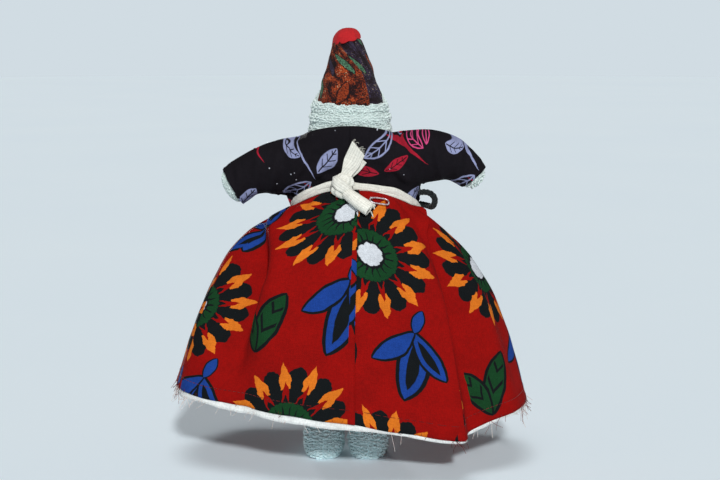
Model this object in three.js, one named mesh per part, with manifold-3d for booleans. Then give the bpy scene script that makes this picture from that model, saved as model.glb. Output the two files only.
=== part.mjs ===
// A stuffed rag doll: terry head and limbs, pointed hood, printed blouse, gathered skirt over a
// petticoat, and a tape waistband tied behind. Millimetres, +Z up. The doll faces -Y and its own
// left side is +X. The origin lies on the ground, under the middle of the skirt.
import * as THREE from 'three';
import { mergeVertices } from 'three/addons/utils/BufferGeometryUtils.js';
import Module from 'manifold-3d';

const wasm = await Module();
wasm.setup();

// Cloth and seams
const CLOTH = 0.9;
const LINING = 0.6;
const SEAM_GAP = 0.4;
const TURN_GAP = 0.4;

// Head, turning and nodding about one point
const HEAD_X = 1.5;
const HEAD_PIVOT_Z = 215;
const HEAD_RADIUS = 26;
const HEAD_BASE_DROP = 4.5;
const HEAD_TOP_RISE = 48;
const NECK_BALL_RADIUS = 10;
const NECK_RADIUS = 8;
const NECK_FLANGE_RADIUS = 13;
const NOD_ROOM = THREE.MathUtils.degToRad(14);

// Hood
const HOOD_HEM_RADIUS = 21.3;
const HOOD_TOP_RADIUS = 8.4;
const HOOD_HEM_BACK_Z = 231;
const HOOD_HEM_FRONT_Z = 243;
const HOOD_SHOULDER_Z = 271.5;
const HOOD_DOME = 3;
const TIP_RADIUS = 7.9;
const TIP_SEAT_RISE = 0.7;
const TIP_HEIGHT = 7.8;

// Face
const EYE_RADIUS = 1.8;
const EYE_SPREAD = 8;
const EYE_Z = 231;
const MOUTH_WIDTH = 8.5;
const MOUTH_RADIUS = 0.7;
const MOUTH_Z = 222.2;

// Torso
const TORSO_X = -1;
const TORSO_BASE_Z = 112;
const TORSO_TOP_Z = 201;
const TORSO_HALF_WIDTH = 35;
const TORSO_HALF_DEPTH = 21;

// Blouse
const NECKLINE_GAP = 0.5;
const NECKLINE_SIDE_Z = 213.5;
const NECKLINE_BACK_RISE = 6;
const NECKLINE_FRONT_RISE = 0.5;
const BLOUSE_TUCK = 8;

// Waistband tape, tied behind
const WAIST_X = -2;
const WAIST_Z = 166;
const WAIST_HALF_WIDTH = 42;
const WAIST_HALF_DEPTH = 26;
const WAIST_BACK_RISE = 16.5;
const WAIST_FRONT_RISE = 5;
const BAND_WIDTH = 6;
const BAND_THICKNESS = 2.2;
const TAPE_WIDTH = 12;
const TAPE_THICKNESS = 1.8;
const KNOT_X = 6;
const KNOT_WIDTH = 13;
const KNOT_HEIGHT = 15.5;
const KNOT_DEPTH = 9;
const TAIL_UP_LENGTH = 21;
const TAIL_DOWN_START = new THREE.Vector3(-5.4, 3, -9.35);
const TAIL_DOWN_LENGTH = 23;
const TAIL_DOWN_ASIDE = 0.58;
const TAIL_DOWN_FALL = 0.0052;
const ROLL_RADIUS = 3.96;
const PIN_X = -13;
const PIN_DROP = 0.075;
const PIN_LENGTH = 12;
const PIN_HEIGHT = 5.4;
const PIN_WIRE = 1.2;

// Skirt and petticoat
const HEM_X = 0;
const HEM_Y = 0.55;
const HEM_HALF_WIDTH = 114.5;
const HEM_HALF_DEPTH = 66;
const HEM_SQUARENESS = 2.3;
const SKIRT_LEFT_FULLNESS = 0.55;
const PETTICOAT_DROP = 0.045;
const CORNER_ANGLE = 120;
const CORNER_Z = 27;

// Arms, each swinging about its shoulder
const SHOULDER_LEFT = new THREE.Vector3(38, 0, 192.8);
const SHOULDER_RIGHT = new THREE.Vector3(-40, 0, 197);
const SHOULDER_RADIUS_LEFT = 18;
const SHOULDER_RADIUS_RIGHT = 17.5;
const CUFF_LEFT = new THREE.Vector3(77.1, 0, 178.8);
const CUFF_RIGHT = new THREE.Vector3(-78, 0, 184.6);
const CUFF_RADIUS_LEFT = 13.4;
const CUFF_RADIUS_RIGHT = 9.6;
const ELBOW_LEFT = new THREE.Vector3(56, 0, 190.5);
const ELBOW_RIGHT = new THREE.Vector3(-63.5, 0, 201);
const ELBOW_RADIUS_LEFT = 15.9;
const ELBOW_RADIUS_RIGHT = 16;
const CUFF_FLATNESS = 0.86;
const HAND_LENGTH = 3.4;
const LOWER_LEFT = 12;
const LOWER_RIGHT = 15;
const RAISE_LEFT = 50;
const RAISE_RIGHT = 40;

// Legs and feet
const LEGS_X = 4.5;
const LEG_SPREAD = 14.7;
const HIP_Z = 114;
const HIP_RADIUS = 12.5;
const KNEE_RADIUS = 11.2;
const ANKLE_RADIUS = 9.6;
const ANKLE_Z = 18;
const HIP_SWING = 20;
const FOOT_HALF_WIDTH = 12.6;
const FOOT_HEIGHT = 25;
const TOE_HEIGHT = 15;
const FOOT_HEEL_Y = 15;
const FOOT_TOE_Y = -24;
const SOLE_CUT = 0.5;
const SOLE_TURN_UP = 8;
const SOLE_SQUARENESS = 3.4;

// Braided cord loop at the right hip
const CORD_DIAMETER = 4.3;

// Facets
const SKIRT_SIDES = 60;
const SKIRT_ROWS = 8;
const BODY_SIDES = 36;
const LIMB_SIDES = 20;

const { degToRad, lerp, smoothstep } = THREE.MathUtils;
const TURN = Math.PI * 2;

const finishes = {
  terry: { color: 0xcde1dc, roughness: 0.95 },
  terryShade: { color: 0x9fbcbb, roughness: 0.95 },
  hood: { color: 0x5a2a20, roughness: 0.9 },
  hoodTip: { color: 0xd81420, roughness: 0.85 },
  eye: { color: 0x16181a, roughness: 0.4 },
  mouth: { color: 0xb02030, roughness: 0.8 },
  blouse: { color: 0x15181f, roughness: 0.8 },
  core: { color: 0xd8d2c4, roughness: 0.95 },
  skirt: { color: 0xaa0c0c, roughness: 0.75 },
  petticoat: { color: 0xe1e4e2, roughness: 0.9 },
  tape: { color: 0xe8ebe1, roughness: 0.85 },
  pin: { color: 0xb8aeb4, roughness: 0.35, metalness: 0.9 },
  cord: { color: 0x141e1e, roughness: 0.9 },
};

const doll = new THREE.Group();

function addPiece(name, solid, finish) {
  const mesh = new THREE.Mesh(toGeometry(solid), new THREE.MeshStandardMaterial(finishes[finish]));
  mesh.name = name;
  doll.add(mesh);
}

// Solids

function signedVolume(points, corners) {
  let volume = 0;
  const a = new THREE.Vector3();
  const b = new THREE.Vector3();
  const c = new THREE.Vector3();
  for (let i = 0; i < corners.length; i += 3) {
    a.fromArray(points, corners[i] * 3);
    b.fromArray(points, corners[i + 1] * 3);
    c.fromArray(points, corners[i + 2] * 3);
    volume += a.dot(b.cross(c)) / 6;
  }
  return volume;
}

function toSolid(geometry) {
  const plain = new THREE.BufferGeometry();
  plain.setAttribute('position', geometry.attributes.position.clone());
  if (geometry.index) plain.setIndex(geometry.index.clone());
  const welded = mergeVertices(plain, 1e-4);
  const points = new Float32Array(welded.attributes.position.array);
  const corners = [];
  const index = welded.index.array;
  for (let i = 0; i < index.length; i += 3) {
    const [a, b, c] = [index[i], index[i + 1], index[i + 2]];
    if (a !== b && b !== c && c !== a) corners.push(a, b, c);
  }
  if (signedVolume(points, corners) < 0) corners.reverse();
  return new wasm.Manifold(
    new wasm.Mesh({ numProp: 3, vertProperties: points, triVerts: new Uint32Array(corners) }),
  );
}

function toGeometry(solid) {
  const mesh = solid.getMesh();
  const geometry = new THREE.BufferGeometry();
  geometry.setAttribute('position', new THREE.BufferAttribute(new Float32Array(mesh.vertProperties), 3));
  geometry.setIndex(new THREE.BufferAttribute(new Uint32Array(mesh.triVerts), 1));
  return geometry;
}

// A skin over rows of points. Each row is a ring; the rows close on each other, or end in caps.
function skin(rows, closed) {
  const count = rows[0].length;
  const points = rows.flat();
  const corners = [];
  const bands = closed ? rows.length : rows.length - 1;
  for (let i = 0; i < bands; i += 1) {
    for (let j = 0; j < count; j += 1) {
      const a = i * count + j;
      const b = i * count + ((j + 1) % count);
      const c = ((i + 1) % rows.length) * count + ((j + 1) % count);
      const d = ((i + 1) % rows.length) * count + j;
      corners.push(a, b, c, a, c, d);
    }
  }
  if (!closed) {
    for (const row of [0, rows.length - 1]) {
      const middle = new THREE.Vector3();
      rows[row].forEach((point) => middle.addScaledVector(point, 1 / count));
      points.push(middle);
      for (let j = 0; j < count; j += 1) {
        const a = row * count + j;
        const b = row * count + ((j + 1) % count);
        corners.push(...(row === 0 ? [points.length - 1, b, a] : [points.length - 1, a, b]));
      }
    }
  }
  const geometry = new THREE.BufferGeometry().setFromPoints(points);
  geometry.setIndex(corners);
  return toSolid(geometry);
}

// A turned solid about the Z axis from a profile of [radius, height] points.
function turned(profile, sides = LIMB_SIDES) {
  const points = profile.map(([radius, height]) => new THREE.Vector2(radius, height));
  return toSolid(new THREE.LatheGeometry(points, sides).rotateX(Math.PI / 2));
}

function smoothProfile(profile, steps) {
  const curve = new THREE.SplineCurve(profile.map(([radius, height]) => new THREE.Vector2(radius, height)));
  return curve.getPoints(steps).map((point) => [Math.max(point.x, 0), point.y]);
}

function ball(center, radius, sides = LIMB_SIDES) {
  const geometry = new THREE.SphereGeometry(radius, sides, Math.round(sides / 2));
  geometry.rotateX(Math.PI / 2);
  return toSolid(geometry.translate(center.x, center.y, center.z));
}

function block(width, depth, height, center) {
  return toSolid(new THREE.BoxGeometry(width, depth, height).translate(center.x, center.y, center.z));
}

// A smooth value through [place, value] pairs, level at both ends.
function through(pairs) {
  return (place) => {
    let i = 0;
    while (i < pairs.length - 2 && place > pairs[i + 1][0]) i += 1;
    const [a, b] = [pairs[i], pairs[i + 1]];
    const before = pairs[Math.max(i - 1, 0)];
    const after = pairs[Math.min(i + 2, pairs.length - 1)];
    const span = b[0] - a[0];
    const s = THREE.MathUtils.clamp((place - a[0]) / span, 0, 1);
    const slopeA = ((b[1] - before[1]) / (b[0] - before[0] || 1)) * span;
    const slopeB = ((after[1] - a[1]) / (after[0] - a[0] || 1)) * span;
    const square = s * s;
    const cube = square * s;
    return (2 * cube - 3 * square + 1) * a[1] + (cube - 2 * square + s) * slopeA
      + (3 * square - 2 * cube) * b[1] + (cube - square) * slopeB;
  };
}

// A closed line round the body that is level at the sides and rises behind and in front.
function round(side, backRise, frontRise, angle) {
  const lean = ((backRise - frontRise) / 2) * Math.sin(angle);
  const arch = ((backRise + frontRise) / 4) * (1 - Math.cos(2 * angle));
  return side + lean + arch;
}

function ring(sides, pointAt) {
  return Array.from({ length: sides }, (_, i) => pointAt((i / sides) * TURN));
}

function ovalPoint(angle, halfWidth, halfDepth, squareness = 2) {
  const power = 2 / squareness;
  const across = Math.sign(Math.cos(angle)) * Math.abs(Math.cos(angle)) ** power;
  const along = Math.sign(Math.sin(angle)) * Math.abs(Math.sin(angle)) ** power;
  return new THREE.Vector3(across * halfWidth, along * halfDepth, 0);
}

// Arms: a stuffed roll inside a sleeve, both following one bent line in the XZ plane

const arms = {
  left: {
    pivot: SHOULDER_LEFT,
    line: new THREE.QuadraticBezierCurve3(SHOULDER_LEFT, ELBOW_LEFT, CUFF_LEFT),
    radius: through([[0, SHOULDER_RADIUS_LEFT], [0.45, ELBOW_RADIUS_LEFT], [1, CUFF_RADIUS_LEFT]]),
    lower: LOWER_LEFT,
    raise: RAISE_LEFT,
    side: 1,
  },
  right: {
    pivot: SHOULDER_RIGHT,
    line: new THREE.QuadraticBezierCurve3(SHOULDER_RIGHT, ELBOW_RIGHT, CUFF_RIGHT),
    radius: through([[0, SHOULDER_RADIUS_RIGHT], [0.5, ELBOW_RADIUS_RIGHT], [1, CUFF_RADIUS_RIGHT]]),
    lower: LOWER_RIGHT,
    raise: RAISE_RIGHT,
    side: -1,
  },
};

function armFrame(arm, place) {
  const at = arm.line.getPoint(Math.max(place, 0));
  const out = arm.line.getTangent(Math.max(place, 0));
  const up = new THREE.Vector3(-out.z, 0, out.x).multiplyScalar(arm.side);
  return { at, out, up };
}

function armRing(arm, place, inset) {
  const { at, up } = armFrame(arm, place);
  const radius = arm.radius(place) - inset;
  const flatness = lerp(1, CUFF_FLATNESS, smoothstep(place, 0.1, 1));
  return ring(LIMB_SIDES, (angle) => at.clone()
    .addScaledVector(up, radius * Math.cos(angle))
    .add(new THREE.Vector3(0, radius * flatness * Math.sin(angle), 0)));
}

// The round root of an arm: rings of a ball about the pivot, from the given angle behind it.
function rootRings(arm, inset, from, steps) {
  const { at, out, up } = armFrame(arm, 0);
  const radius = arm.radius(0) - inset;
  return Array.from({ length: steps }, (_, i) => {
    const lean = lerp(from, Math.PI / 2, i / steps);
    return ring(LIMB_SIDES, (angle) => at.clone()
      .addScaledVector(out, -radius * Math.cos(lean))
      .addScaledVector(up, radius * Math.sin(lean) * Math.cos(angle))
      .add(new THREE.Vector3(0, radius * Math.sin(lean) * Math.sin(angle), 0)));
  });
}

function sleeve(arm) {
  const places = [0, 0.14, 0.28, 0.42, 0.56, 0.7, 0.85, 1];
  const rootStart = degToRad(52);
  const layer = (inset) => [
    ...rootRings(arm, inset, rootStart, 3),
    ...places.map((place) => armRing(arm, place, inset)),
  ];
  return skin([...layer(0), ...layer(CLOTH).reverse()], true);
}

function armRoll(arm) {
  const inset = CLOTH + SEAM_GAP;
  const places = [0, 0.2, 0.4, 0.6, 0.8, 1];
  const rows = [...rootRings(arm, inset, 0, 4), ...places.map((place) => armRing(arm, place, inset))];
  const { at, out } = armFrame(arm, 1);
  const last = rows.at(-1);
  for (const lean of [30, 60, 80, 90].map(degToRad)) {
    rows.push(last.map((point) => point.clone().sub(at).multiplyScalar(Math.cos(lean)).add(at)
      .addScaledVector(out, HAND_LENGTH * Math.sin(lean))));
  }
  return skin(rows, false);
}

// The room that an arm needs: its root ball, and all that it sweeps between its lowest and
// highest place.
function armRoom(arm) {
  const reach = arm.radius(0) + TURN_GAP;
  const places = [0, 0.1, 0.2, 0.35, 0.5, 0.75, 1];
  const edge = (sign, swing) => places.map((place) => {
    const { at, up } = armFrame(arm, place);
    const point = at.clone().addScaledVector(up, sign * (arm.radius(place) + TURN_GAP));
    const turn = new THREE.Vector3(0, 1, 0);
    return point.sub(arm.pivot).applyAxisAngle(turn, degToRad(-arm.side * swing)).add(arm.pivot);
  });
  const low = edge(-1, -arm.lower);
  const high = edge(1, arm.raise);
  const outline = [arm.pivot, ...low, ...high.reverse()];
  const shape = new THREE.Shape(outline.map((point) => new THREE.Vector2(point.x, point.z)));
  const sweep = new THREE.ExtrudeGeometry(shape, { depth: 2 * reach, bevelEnabled: false });
  sweep.rotateX(Math.PI / 2).translate(0, reach, 0);
  return ball(arm.pivot, reach, 32).add(toSolid(sweep));
}

// Legs: a stuffed roll hung in the torso, with a stuffed foot on its end

function legX(side) {
  return LEGS_X + side * LEG_SPREAD;
}

function leg(side) {
  const profile = [];
  for (let i = 0; i <= 6; i += 1) {
    const lean = (i / 6) * (Math.PI / 2);
    profile.push([HIP_RADIUS * Math.sin(lean), HIP_Z + HIP_RADIUS * Math.cos(lean)]);
  }
  profile.push([KNEE_RADIUS + 0.7, lerp(HIP_Z, ANKLE_Z, 0.25)]);
  profile.push([KNEE_RADIUS, lerp(HIP_Z, ANKLE_Z, 0.5)]);
  profile.push([lerp(KNEE_RADIUS, ANKLE_RADIUS, 0.4), lerp(HIP_Z, ANKLE_Z, 0.75)]);
  profile.push([ANKLE_RADIUS, ANKLE_Z + 2]);
  profile.push([ANKLE_RADIUS - 2, ANKLE_Z]);
  profile.push([0, ANKLE_Z]);
  return turned(profile).translate([legX(side), 0, 0]);
}

function legRoom(side) {
  const hip = new THREE.Vector3(legX(side), 0, HIP_Z);
  const reach = HIP_RADIUS + TURN_GAP;
  const below = HIP_Z - TORSO_BASE_Z + HIP_RADIUS;
  const swing = degToRad(HIP_SWING);
  const corner = (sign) => new THREE.Vector2(sign * reach * Math.cos(swing), reach * Math.sin(swing));
  const foot = (sign) => corner(sign)
    .add(new THREE.Vector2(sign * below * Math.sin(swing), -below * Math.cos(swing)).multiplyScalar(2));
  const shape = new THREE.Shape([new THREE.Vector2(0, 0), corner(-1), foot(-1), foot(1), corner(1)]);
  const sweep = new THREE.ExtrudeGeometry(shape, { depth: 2 * reach, bevelEnabled: false });
  sweep.rotateX(Math.PI / 2).rotateZ(Math.PI / 2).translate(hip.x - reach, 0, hip.z);
  return ball(hip, reach, 24).add(toSolid(sweep));
}

// A stuffed foot: full at the heel, lower at the toes, with a flat sole whose ends turn up.
function foot(side) {
  const length = FOOT_HEEL_Y - FOOT_TOE_Y;
  const height = through([
    [0, FOOT_HEIGHT], [0.4, FOOT_HEIGHT], [0.75, lerp(TOE_HEIGHT, FOOT_HEIGHT, 0.3)], [1, TOE_HEIGHT],
  ]);
  const stations = Array.from({ length: 13 }, (_, i) => (1 - Math.cos((i / 12) * Math.PI)) / 2);
  const rows = stations.map((place) => {
    const swell = Math.sqrt(Math.max(1 - (2 * place - 1) ** 2, 0)) ** 0.62;
    const fromEnd = length * Math.min(place, 1 - place);
    const turnUp = 1 - Math.min(fromEnd / SOLE_TURN_UP, 1);
    const upper = (height(place) / 2) * swell;
    const lower = (height(place) / 2) * Math.sqrt(1 - turnUp ** 2);
    const middle = (height(place) / 2) - SOLE_CUT;
    return ring(LIMB_SIDES, (angle) => {
      const [halfHeight, squareness] = Math.sin(angle) > 0 ? [upper, 2.3] : [lower, SOLE_SQUARENESS];
      const oval = ovalPoint(angle, FOOT_HALF_WIDTH * swell, halfHeight, squareness);
      return new THREE.Vector3(legX(side) + oval.x, FOOT_HEEL_Y - length * place, middle + oval.y);
    });
  });
  const ground = block(200, 200, 20, new THREE.Vector3(0, 0, -10));
  const ankleRoom = turned([
    [0, ANKLE_Z - SEAM_GAP],
    [ANKLE_RADIUS + SEAM_GAP, ANKLE_Z - SEAM_GAP],
    [ANKLE_RADIUS + SEAM_GAP + 0.6, ANKLE_Z + 30],
    [0, ANKLE_Z + 30],
  ]).translate([legX(side), 0, 0]);
  return skin(rows, false).subtract(ground).subtract(ankleRoom);
}

// Torso and neck

function torso() {
  const profile = smoothProfile([
    [0, TORSO_BASE_Z],
    [TORSO_HALF_WIDTH * 0.55, TORSO_BASE_Z],
    [TORSO_HALF_WIDTH * 0.88, TORSO_BASE_Z + 9],
    [TORSO_HALF_WIDTH * 0.93, TORSO_BASE_Z + 30],
    [TORSO_HALF_WIDTH * 0.9, TORSO_BASE_Z + 50],
    [TORSO_HALF_WIDTH, TORSO_BASE_Z + 72],
    [TORSO_HALF_WIDTH * 0.86, TORSO_TOP_Z - 5],
    [TORSO_HALF_WIDTH * 0.6, TORSO_TOP_Z],
    [0, TORSO_TOP_Z],
  ], 16);
  profile[0][0] = 0;
  profile.at(-1)[0] = 0;
  return turned(profile, 28)
    .scale([1, TORSO_HALF_DEPTH / TORSO_HALF_WIDTH, 1])
    .translate([TORSO_X, 0, 0])
    .subtract(armRoom(arms.left))
    .subtract(armRoom(arms.right))
    .subtract(legRoom(1))
    .subtract(legRoom(-1));
}

function neckRoll() {
  const profile = [];
  const start = Math.asin(NECK_RADIUS / NECK_BALL_RADIUS);
  for (let i = 0; i <= 6; i += 1) {
    const lean = lerp(0, Math.PI - start, i / 6);
    profile.push([NECK_BALL_RADIUS * Math.sin(lean), HEAD_PIVOT_Z + NECK_BALL_RADIUS * Math.cos(lean)]);
  }
  const seat = TORSO_TOP_Z + SEAM_GAP;
  profile.push([NECK_RADIUS, seat + 4]);
  profile.push([NECK_FLANGE_RADIUS, seat + 1.2]);
  profile.push([NECK_FLANGE_RADIUS, seat]);
  profile.push([0, seat]);
  profile[0][0] = 0;
  return turned(profile).translate([HEAD_X, 0, 0]);
}

// Head: a ball zone in the neckline, a barrel above it, and a smaller crown inside the hood

function hoodRadius(z) {
  const slope = (HOOD_HEM_RADIUS - HOOD_TOP_RADIUS) / (HOOD_SHOULDER_Z - HOOD_HEM_BACK_Z);
  return HOOD_HEM_RADIUS - slope * (z - HOOD_HEM_BACK_Z);
}

function hoodProfile(inset) {
  const start = HOOD_HEM_BACK_Z - 8;
  const points = [[hoodRadius(start) - inset, start]];
  for (let i = 1; i <= 6; i += 1) {
    const z = lerp(start, HOOD_SHOULDER_Z, i / 6);
    const belly = 0.9 * Math.sin((i / 6) * Math.PI);
    points.push([hoodRadius(z) + belly - inset, z]);
  }
  for (let i = 1; i <= 4; i += 1) {
    const lean = (i / 4) * (Math.PI / 2);
    const radius = (HOOD_TOP_RADIUS - inset) * Math.cos(lean);
    points.push([i === 4 ? 0 : radius, HOOD_SHOULDER_Z + (HOOD_DOME - inset) * Math.sin(lean)]);
  }
  return points;
}

function aboveHoodHem(gap) {
  const rise = HOOD_HEM_FRONT_Z - HOOD_HEM_BACK_Z;
  const tilt = Math.atan2(rise, 2 * HOOD_HEM_RADIUS);
  const middle = (HOOD_HEM_FRONT_Z + HOOD_HEM_BACK_Z) / 2;
  const geometry = new THREE.BoxGeometry(120, 160, 120).translate(0, 0, 60 - gap);
  return toSolid(geometry.rotateX(-tilt).translate(0, 0, middle));
}

function head() {
  const lower = [];
  const baseAngle = Math.asin(HEAD_BASE_DROP / HEAD_RADIUS);
  lower.push([0, HEAD_PIVOT_Z - HEAD_BASE_DROP]);
  for (let i = 0; i <= 4; i += 1) {
    const angle = lerp(-baseAngle, degToRad(14), i / 4);
    lower.push([HEAD_RADIUS * Math.cos(angle), HEAD_PIVOT_Z + HEAD_RADIUS * Math.sin(angle)]);
  }
  lower.push([HEAD_RADIUS * 0.935, HEAD_PIVOT_Z + 10]);
  lower.push([HEAD_RADIUS * 0.9, HEAD_PIVOT_Z + 14.5]);
  lower.push([HEAD_RADIUS * 0.85, HEAD_PIVOT_Z + 20]);
  lower.push([HEAD_RADIUS * 0.76, HEAD_PIVOT_Z + 26]);
  lower.push([0, HEAD_PIVOT_Z + 33]);
  const crownInset = CLOTH + SEAM_GAP;
  const crownTop = HEAD_PIVOT_Z + HEAD_TOP_RISE;
  const crown = [[0, HEAD_PIVOT_Z + 2]];
  for (let i = 0; i <= 6; i += 1) {
    const z = lerp(HEAD_PIVOT_Z + 2, crownTop - 8, i / 6);
    crown.push([Math.min(hoodRadius(z) - crownInset, HEAD_RADIUS * 0.8), z]);
  }
  crown.push([hoodRadius(crownTop) * 0.72, crownTop - 2]);
  crown.push([0, crownTop]);
  const socket = ball(new THREE.Vector3(0, 0, HEAD_PIVOT_Z), NECK_BALL_RADIUS + TURN_GAP, 24);
  const mouthDrop = HEAD_BASE_DROP + 1;
  const stemRoom = NECK_RADIUS / Math.cos(NOD_ROOM) + HEAD_BASE_DROP * Math.tan(NOD_ROOM) + TURN_GAP;
  const stem = turned([
    [0, HEAD_PIVOT_Z - mouthDrop],
    [stemRoom + 0.4, HEAD_PIVOT_Z - mouthDrop],
    [stemRoom, HEAD_PIVOT_Z],
    [0, HEAD_PIVOT_Z],
  ], 24);
  return turned(lower, 28)
    .subtract(aboveHoodHem(SEAM_GAP))
    .add(turned(crown, 28))
    .subtract(socket)
    .subtract(stem)
    .translate([HEAD_X, 0, 0]);
}

function hood() {
  const outer = hoodProfile(0);
  const inner = hoodProfile(CLOTH).reverse();
  return turned([...outer, ...inner, outer[0]], 28)
    .intersect(aboveHoodHem(0))
    .translate([HEAD_X, 0, 0]);
}

function hoodTip() {
  const base = HOOD_SHOULDER_Z + TIP_SEAT_RISE;
  const profile = [[0, base]];
  for (let i = 0; i <= 6; i += 1) {
    const lean = (i / 6) * (Math.PI / 2);
    const radius = TIP_RADIUS * 1.08 * Math.cos(lean) ** 0.8;
    profile.push([i === 6 ? 0 : radius, base + TIP_HEIGHT * Math.sin(lean)]);
  }
  const hoodTop = turned([[0, HOOD_SHOULDER_Z - 20], ...hoodProfile(-SEAM_GAP)], 28);
  return turned(profile, 24).subtract(hoodTop).translate([HEAD_X, 0, 0]);
}

// Face: two stitched eyes and a short mouth on the front of the head

function faceRadius(z) {
  const rise = z - HEAD_PIVOT_Z;
  return through([
    [0, HEAD_RADIUS], [6.3, HEAD_RADIUS * 0.97], [10, HEAD_RADIUS * 0.935],
    [14.5, HEAD_RADIUS * 0.9], [20, HEAD_RADIUS * 0.85],
  ])(rise) + SEAM_GAP;
}

function eye(side) {
  const reach = faceRadius(EYE_Z);
  const turnAngle = Math.asin(EYE_SPREAD / reach);
  const button = turned([
    [0, 0], [EYE_RADIUS, 0], [EYE_RADIUS * 0.92, EYE_RADIUS * 0.45],
    [EYE_RADIUS * 0.55, EYE_RADIUS * 0.75], [0, EYE_RADIUS * 0.85],
  ], 14);
  return button
    .rotate([90, 0, 0])
    .translate([0, -reach, 0])
    .rotate([0, 0, (side * turnAngle * 180) / Math.PI])
    .translate([HEAD_X, 0, EYE_Z]);
}

function mouth() {
  const reach = faceRadius(MOUTH_Z) + MOUTH_RADIUS;
  const halfTurn = MOUTH_WIDTH / 2 / reach;
  const stations = [-1, -0.9, -0.5, 0, 0.5, 0.9, 1];
  const rows = stations.map((place) => {
    const angle = place * halfTurn - Math.PI / 2;
    const radius = MOUTH_RADIUS * (1 - 0.55 * place ** 4);
    const smile = 1.1 * place ** 2;
    const out = new THREE.Vector3(Math.cos(angle), Math.sin(angle), 0);
    return ring(8, (around) => new THREE.Vector3(HEAD_X, 0, MOUTH_Z + smile)
      .addScaledVector(out, reach + radius * Math.cos(around))
      .add(new THREE.Vector3(0, 0, radius * Math.sin(around))));
  });
  return skin(rows, false);
}

// Waist, neckline and hem lines

function bandZ(angle) {
  return round(WAIST_Z, WAIST_BACK_RISE, WAIST_FRONT_RISE, angle) + Math.cos(angle);
}

function necklineZ(angle) {
  return round(NECKLINE_SIDE_Z, NECKLINE_BACK_RISE, NECKLINE_FRONT_RISE, angle);
}

// Hem height by the direction round the skirt: 0 is the doll's left, 90 its back.
const hemHeights = through([
  [-35, 44], [0, 51.5], [52, 46], [88, 39.3], [98, 34.5], [107, 31], [CORNER_ANGLE, CORNER_Z],
  [CORNER_ANGLE + 15, CORNER_Z + 7], [CORNER_ANGLE + 30, CORNER_Z + 10.5], [180, 39.5],
  [225, 36], [270, 35], [325, 44], [360, 51.5], [412, 46],
]);

function hemZ(angle) {
  return hemHeights(THREE.MathUtils.euclideanModulo((angle * 180) / Math.PI, 360));
}

// Blouse

const NECKLINE_RADIUS = HEAD_RADIUS + NECKLINE_GAP + CLOTH;
const BLOUSE_WAIST_GAP = BAND_THICKNESS + SEAM_GAP;
const blouseWidth = through([
  [-0.1, WAIST_HALF_WIDTH - BLOUSE_WAIST_GAP], [0.12, WAIST_HALF_WIDTH - BLOUSE_WAIST_GAP],
  [0.26, WAIST_HALF_WIDTH - BLOUSE_WAIST_GAP], [0.4, WAIST_HALF_WIDTH + 1.4],
  [0.52, WAIST_HALF_WIDTH + 2.4],
  [0.68, WAIST_HALF_WIDTH + 1.4], [0.84, WAIST_HALF_WIDTH - 4],
  [0.95, NECKLINE_RADIUS + 4], [1, NECKLINE_RADIUS],
]);
const blouseDepth = through([
  [-0.1, WAIST_HALF_DEPTH - BLOUSE_WAIST_GAP], [0.13, WAIST_HALF_DEPTH - BLOUSE_WAIST_GAP],
  [0.3, WAIST_HALF_DEPTH - BLOUSE_WAIST_GAP], [0.44, WAIST_HALF_DEPTH], [0.6, WAIST_HALF_DEPTH + 1],
  [0.84, NECKLINE_RADIUS + 1.2], [0.95, NECKLINE_RADIUS + 0.9], [1, NECKLINE_RADIUS],
]);

function blousePoint(angle, rise, inset) {
  const tuck = bandZ(angle) - BLOUSE_TUCK;
  const oval = ovalPoint(angle, blouseWidth(rise) - inset, blouseDepth(rise) - inset, lerp(2.1, 2, rise));
  oval.x += lerp(WAIST_X, HEAD_X, smoothstep(rise, 0.26, 1));
  oval.z = lerp(tuck, necklineZ(angle), rise);
  return oval;
}

function blouseBody() {
  const rises = [0, 0.13, 0.26, 0.36, 0.5, 0.66, 0.78, 0.88, 0.95, 1];
  const rows = (inset) => rises.map((rise) => ring(BODY_SIDES, (angle) => blousePoint(angle, rise, inset)));
  return skin([...rows(0), ...rows(CLOTH).reverse()], true)
    .subtract(armRoom(arms.left))
    .subtract(armRoom(arms.right));
}

// Skirt and petticoat: one bell that spreads quickly below the band, then falls to the hem

const bell = new THREE.CubicBezierCurve(
  new THREE.Vector2(0, 0),
  new THREE.Vector2(0.55, 0.18),
  new THREE.Vector2(0.8, 0.52),
  new THREE.Vector2(1, 1),
);

// Folds of the skirt: direction, how far each stands out at the hem, and its width in degrees.
const folds = [
  { at: 52, out: -7, wide: 13 },
  { at: 90, out: 1.5, wide: 12 },
  { at: CORNER_ANGLE, out: 8, wide: 8 },
  { at: CORNER_ANGLE + 17, out: -5, wide: 10 },
  { at: 208, out: 4, wide: 12 },
  { at: 232, out: -5, wide: 11 },
  { at: 256, out: 4.5, wide: 11 },
  { at: 282, out: -4.5, wide: 12 },
  { at: 308, out: 4.5, wide: 12 },
  { at: 334, out: -3, wide: 12 },
];

function foldOut(angle, drop) {
  const here = (angle * 180) / Math.PI;
  let out = 0;
  for (const fold of folds) {
    const away = THREE.MathUtils.euclideanModulo(here - fold.at + 180, 360) - 180;
    out += fold.out * Math.exp(-((away / fold.wide) ** 2));
  }
  return out * smoothstep(drop, 0.02, 1) ** 0.8;
}

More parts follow.
